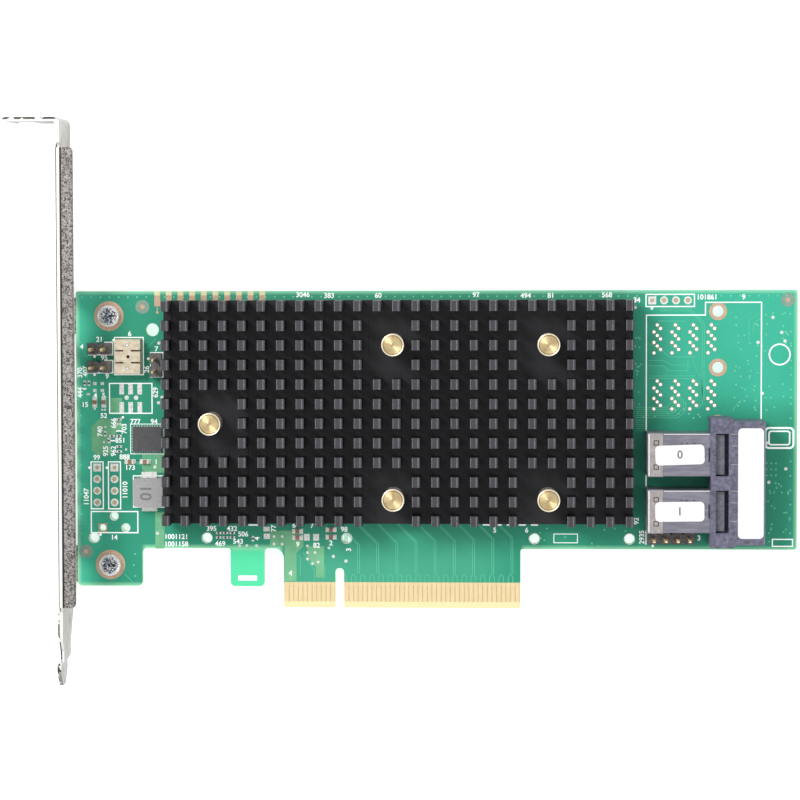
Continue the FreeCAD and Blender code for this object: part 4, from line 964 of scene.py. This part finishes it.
def edge_pad_tips(bm):
    """Yellowish ends of the pads where they run out at the board's top edge."""
    for low, high in islands("top_edge_pads"):
        bar(bm, low.x, TOP - 0.95, high.x, TOP - 0.02, SUNK, FACE + 0.06)


def first_pad_stub(bm):
    """The first pad's longer land, its trace and its test point."""
    low, high = islands("top_edge_pads")[0]
    x = (low.x + high.x) / 2
    bar(bm, low.x, TOP - 3.3, high.x, TOP - 2.2, SUNK, PAD_TOP)
    bar(bm, x - 0.1, TOP - 4.6, x + 0.1, TOP - 3.3, SUNK, VIA_TOP)
    prism(bm, circle(x, TOP - 4.65, 0.3), SUNK, PAD_TOP)


# --- printed outlines ---

def outline_of(node, margin):
    low, high = box_mm(node)
    return rectangle(low.x - margin, low.y - margin, high.x + margin, high.y + margin)


def printed_outlines(bm):
    """White frames round the parts, the empty footprints and the port's place, and short bars."""
    def line(points, width=0.24, closed=False):
        stroke(bm, points, width, SUNK, INK_TOP, closed)

    line(rectangle(-50.0, 42.35, -40.72, 48.85), closed=True)
    line(outline_of("power_socket", 0.35), 0.22, closed=True)
    line(outline_of("logic_chip", 0.55), 0.16, closed=True)
    line(outline_of("power_inductor", 0.3), closed=True)
    for row in EMPTY_ROWS[:2]:
        line(rectangle(row[0][0] - 1.32, 21.5, row[0][0] + 1.32, 31.75), closed=True)
    line(rectangle(LEFT + 3.05, 16.28, LEFT + 13.25, 20.9), closed=True)
    right_row = EMPTY_ROWS[2]
    line(rectangle(right_row[0][0] - 1.33, TOP - 3.58, right_row[-1][0] + 1.4, TOP - 0.96), closed=True)
    line([(66.15, 14.0), (66.15, TOP - 5.42), (78.76, TOP - 5.42), (78.76, TOP - 2.7), (90.7, TOP - 2.7),
          (90.7, 40.9)])
    for header in HEADERS[:2]:
        low, high = box_mm(f"{header}_base")
        line([(high.x - 1.6, high.y + 0.1), (high.x + 0.2, high.y + 0.1), (high.x + 0.2, low.y - 0.1),
              (low.x - 0.1, low.y - 0.1)])
    line(outline_of("jumper_header_c_base", 0.12), 0.18, closed=True)
    line(rectangle(46.35, 14.34, 51.43, 16.23), 0.16, closed=True)
    for i in range(5):
        line([(31.0 + 2.6 * i, 18.17), (32.5 + 2.6 * i, 18.17)], 0.3)
    bars = ((-48.0, 38.49, 0.65), (-49.53, 36.37, 0.65), (-55.46, 47.68, 0.4), (-18.82, 18.03, 1.0))
    for x, y, half in bars:
        line([(x - half, y), (x + half, y)], 0.3)


def pin_one_dots(bm):
    """Printed dots at the first pin of each footprint."""
    for x, y in ((-49.04, 58.27), (-53.22, 54.7), (-53.25, 50.75), (-41.48, 54.22), (-47.13, 41.48),
                 (-54.53, 30.48), (-50.7, 30.48), (-52.19, 15.87), (67.33, 64.93), (67.6, 13.7)):
        prism(bm, circle(x, y, 0.28, 16), SUNK, INK_TOP)


def rounded(left, low, right, high, radius, steps=6):
    """Outline of a rectangle with round corners."""
    points = []
    corners = ((right - radius, high - radius, 0), (left + radius, high - radius, 90),
               (left + radius, low + radius, 180), (right - radius, low + radius, 270))
    for x, y, start in corners:
        for i in range(steps + 1):
            angle = math.radians(start + 90 * i / steps)
            points.append((x + radius * math.cos(angle), y + radius * math.sin(angle)))
    return points


def plain_panels(bm):
    """Plain rounded frames and a bar where such cards carry printed marks; they say nothing."""
    stroke(bm, rounded(91.6, 34.9, 97.6, 39.2, 0.8), 0.4, SUNK, INK_TOP, closed=True)
    stroke(bm, rounded(92.4, 35.6, 96.8, 38.5, 0.5), 0.3, SUNK, INK_TOP, closed=True)
    stroke(bm, rectangle(93.2, 13.7, 97.5, 15.2), 0.24, SUNK, INK_TOP, closed=True)
    bar(bm, -22.1, 5.9, -18.0, 7.0, SUNK, INK_TOP)
    stroke(bm, circle(94.6, 55.0, 2.2, 40), 0.3, SUNK, INK_TOP, closed=True)


def plain_number(name, digits, x, y, size, turn, height, finish):
    """A plain printed number, the only lettering on the card."""
    curve = bpy.data.curves.new(name, "FONT")
    curve.body = digits
    curve.size = mm(size)
    curve.align_x = "CENTER"
    curve.align_y = "CENTER"
    curve.extrude = mm(0.012)
    curve.offset = mm(0.02 * size)
    text = placed(name, curve)
    text.location = mm(x, y, height)
    text.rotation_euler.z = math.radians(turn)
    bpy.context.view_layer.update()
    mesh = bpy.data.meshes.new_from_object(text)
    mesh.transform(text.matrix_world)
    bpy.data.objects.remove(text)
    dressed(placed(name, mesh), finish)


# Printed numbers: how many digits, the place of the middle, and the turn of those that stand upright
NUMBERS = [
    (2, -52.1, 58.4), (1, -56.0, 56.8), (2, -51.1, 54.4), (1, -45.5, 59.6), (1, -39.7, 56.3),
    (2, -41.8, 51.9, 90), (1, -50.5, 50.4), (3, -56.4, 51.2, 90), (3, -55.2, 51.5, 90),
    (3, -56.4, 46.9, 90), (1, -53.1, 46.2), (1, -51.3, 46.2), (2, -55.4, 44.2), (2, -51.3, 41.8),
    (3, -39.9, 46.9, 90), (3, -49.1, 40.2, 90), (3, -46.8, 39.0, 90), (3, -52.1, 38.4, 90),
    (3, -44.4, 40.5), (2, -40.3, 40.5), (3, -47.7, 36.4), (3, -46.8, 32.8), (3, -50.9, 34.1, 90),
    (3, -49.2, 34.1, 90), (2, -52.9, 32.7), (1, -39.9, 31.7), (3, -45.6, 30.5), (5, -46.7, 25.6, 90),
    (5, -55.2, 24.1, 90), (2, -49.2, 15.2), (7, -35.6, 15.4), (7, -35.6, 13.8), (3, -27.9, 17.2),
    (3, -23.4, 17.2), (3, -26.0, 13.9), (3, -21.0, 16.0), (3, -22.1, 14.4), (1, -17.9, 15.1, 90),
    (2, -14.3, 17.3, 90), (1, -9.9, 17.9), (1, -6.0, 17.9), (2, 1.0, 17.1), (1, -9.1, 13.8),
    (2, -5.0, 13.6), (1, -1.9, 14.1), (1, 2.0, 12.7, 90), (1, -10.7, 7.5), (1, 33.6, 17.0), (1, 40.5, 17.0),
    (2, 64.1, 66.7), (6, 79.1, 67.3), (1, 86.9, 67.3), (4, 65.3, 15.6, 90), (2, 64.1, 19.1, 90),
    (1, 77.5, 15.4), (4, -7.8, 68.0), (3, -2.1, 67.8), (2, 8.5, 67.8), (2, 29.6, 67.9), (3, 40.3, 67.7),
    (2, 45.7, 67.7), (3, 57.7, 67.8),
]


def printed_numbers():
    """Made-up numbers of as many digits as the place has room for."""
    size, first, step = 1.5, 11, 37
    for i, (digits, x, y, *turn) in enumerate(NUMBERS):
        smallest = 10 ** (digits - 1)
        number = smallest + (first + step * i) % (9 * smallest)
        name = f"printed_number_{i + 1}"
        plain_number(name, str(number), x, y, size, sum(turn), INK_TOP, INK)


def number_on(name, node, digits, shift, size, turn):
    """A grey number on top of a CAD node, at its middle or a little beside it."""
    low, high = box_mm(node)
    middle = (low + high) / 2
    plain_number(name, digits, middle.x + shift, middle.y, size, turn, high.z + 0.012, LABEL_INK)


# --- port detail ---

def shield_corners():
    """Lowest and highest corner of each shield's plain shell, inside its raised lip."""
    lip = 0.15
    return [(low + Vector((lip, lip, 0)), high - Vector((0, lip, 0))) for low, high in map(box_mm, SHIELDS)]


def shield_lips(bm):
    """The paler doubled rear edge of each shield."""
    for low, high in shield_corners():
        bar(bm, low.x + 0.4, low.y, low.x + 3.24, high.y, high.z - 0.02, high.z + 0.04)


def stamps(bm, half, rise):
    """Square plates of the given half width on both stamps of each shield."""
    for low, high in shield_corners():
        x, z = low.x + 1.8, high.z
        for y in (low.y + 1.97, high.y - 2.0):
            bar(bm, x - half, y - half, x + half, y + half, z - 0.02, z + rise)


def stamp_frames(bm):
    stamps(bm, 0.56, 0.05)


def stamp_tops(bm):
    stamps(bm, 0.38, 0.06)


def bright_bends(bm):
    """Painted highlights on the bent rear rim and along the lit upper edge of each shield."""
    for low, high in shield_corners():
        bar(bm, low.x + 0.12, low.y + 0.1, low.x + 0.4, high.y - 0.1, high.z - 0.02, high.z + 0.05)
        bar(bm, low.x + 3.4, high.y - 0.24, high.x - 0.1, high.y - 0.1, high.z - 0.3, high.z - 0.11)


def shield_shades(bm):
    """Dark pressed dashes, and the slot behind the latch."""
    for low, high in shield_corners():
        top = high.z - 0.11
        for along in (7.2, 8.3, 9.85):
            bar(bm, low.x + along - 0.2, high.y - 2.2, low.x + along + 0.2, high.y - 2.05, top - 0.1, top)
        bar(bm, low.x + 11.8, high.y - 5.2, low.x + 12.2, high.y - 4.8, top - 0.1, top)
        bar(bm, low.x + 12.84, low.y + 3.04, low.x + 13.13, low.y + 6.06, top - 0.1, top)


# --- assembling the pieces ---

DETAIL = (
    ("solder_tin", (solder_tails, TIN), (tinned_rings, TIN), (filled_holes, FLUX)),
    ("copper_ring", (copper_rings, COPPER)), ("solder_tin", (guide_rims, TIN)),
    ("solder_mask", (fiducial_windows, LAMINATE)), ("copper_ring", (port_hole_rings, COPPER)),
    ("solder_mask", (hole_lights, SEEN_THROUGH), (stitching_vias, VIA), (etched_lines, TRACE),
     (back_lines, TRACE), (back_vias, VIA), (copper_fills, FILL), (contact_gaps, GAP_LINE)),
    ("solder_tin", (bare_lands, TIN), (fitted_lands, TIN), (test_points, TIN), (chip_lands, TIN)),
    ("copper_ring", (edge_pad_tips, BARE_EDGE), (first_pad_stub, COPPER)),
    ("solder_mask", (printed_outlines, INK), (pin_one_dots, INK), (plain_panels, INK)),
    ("shield_steel", (shield_lips, LIP), (stamp_frames, SHADE), (stamp_tops, LIP), (bright_bends, BEND_HIGHLIGHT),
     (shield_shades, SHADE)),
)

finish_nodes()
coil_springs()
for header in HEADERS:
    pointed_posts(header)
for slot, *details in DETAIL:
    for build, material in details:
        piece(build.__name__, build, material)
printed_numbers()
number_on("inductor_number", "power_inductor", "10", -0.6, 3.4, -90)
number_on("port_number_1", "shield_label_1", "1", 0.0, 2.4, 1.0)
number_on("port_number_0", "shield_label_2", "0", 0.0, 2.4, 1.0)


# --- floor, light and camera ---

def floor():
    """A plain pale floor, level with the card's lowest point."""
    height = Vector(CAD_BOX[0]).z
    reach = 1.6
    mesh = bpy.data.meshes.new("floor")
    corners = [(x, y, height) for x, y in rectangle(-reach, -reach, reach, reach)]
    mesh.from_pydata(corners, [], [(0, 1, 2, 3)])
    made = placed("floor", mesh)
    paint = Paint("pale_floor", Roughness=0.9, Specular_IOR_Level=0.1, Emission_Strength=0.65,
                  Emission_Color=WHITE)
    paint.base(paint.tones(paint.noise(0.02), "F4F4F4", "F8F8F8"))
    made.data.materials.append(paint.material)


def lamp(name, place, target, size, power):
    data = bpy.data.lights.new(name, "AREA")
    data.shape = "DISK"
    data.size = size
    data.energy = power
    made = placed(name, data)
    made.location = place
    made.rotation_euler = (Vector(target) - Vector(place)).to_track_quat("-Z", "Y").to_euler()


def lights():
    middle = (0.02, 0.04, 0.0)
    lamp("key", (-0.5, 0.5, 0.8), middle, 0.4, 6.0)
    lamp("fill", (0.6, -0.3, 0.9), middle, 0.9, 1.5)
    world = bpy.data.worlds.new("soft_room")
    world.use_nodes = True
    background = world.node_tree.nodes["Background"]
    background.inputs["Color"].default_value = WHITE
    background.inputs["Strength"].default_value = 0.62
    bpy.context.scene.world = world
    bpy.context.scene.view_settings.view_transform = "Standard"


def camera():
    """Looks down on the component side from 0.68 m, a few degrees off square."""
    data = bpy.data.cameras.new("camera")
    data.sensor_width = 36.0
    data.lens = 141.4
    data.shift_x, data.shift_y = 0.1204, -0.013
    data.clip_start = 0.01
    made = placed("camera", data)
    turn = Matrix.Identity(3)
    for axis, degrees in (("Y", 3.69), ("X", -3.09), ("Z", -0.22)):
        turn = turn @ Matrix.Rotation(math.radians(degrees), 3, axis)
    made.matrix_world = Matrix.Translation((0.03605, 0.08418, 0.6798)) @ turn.to_4x4()
    bpy.context.scene.camera = made


floor()
lights()
camera()
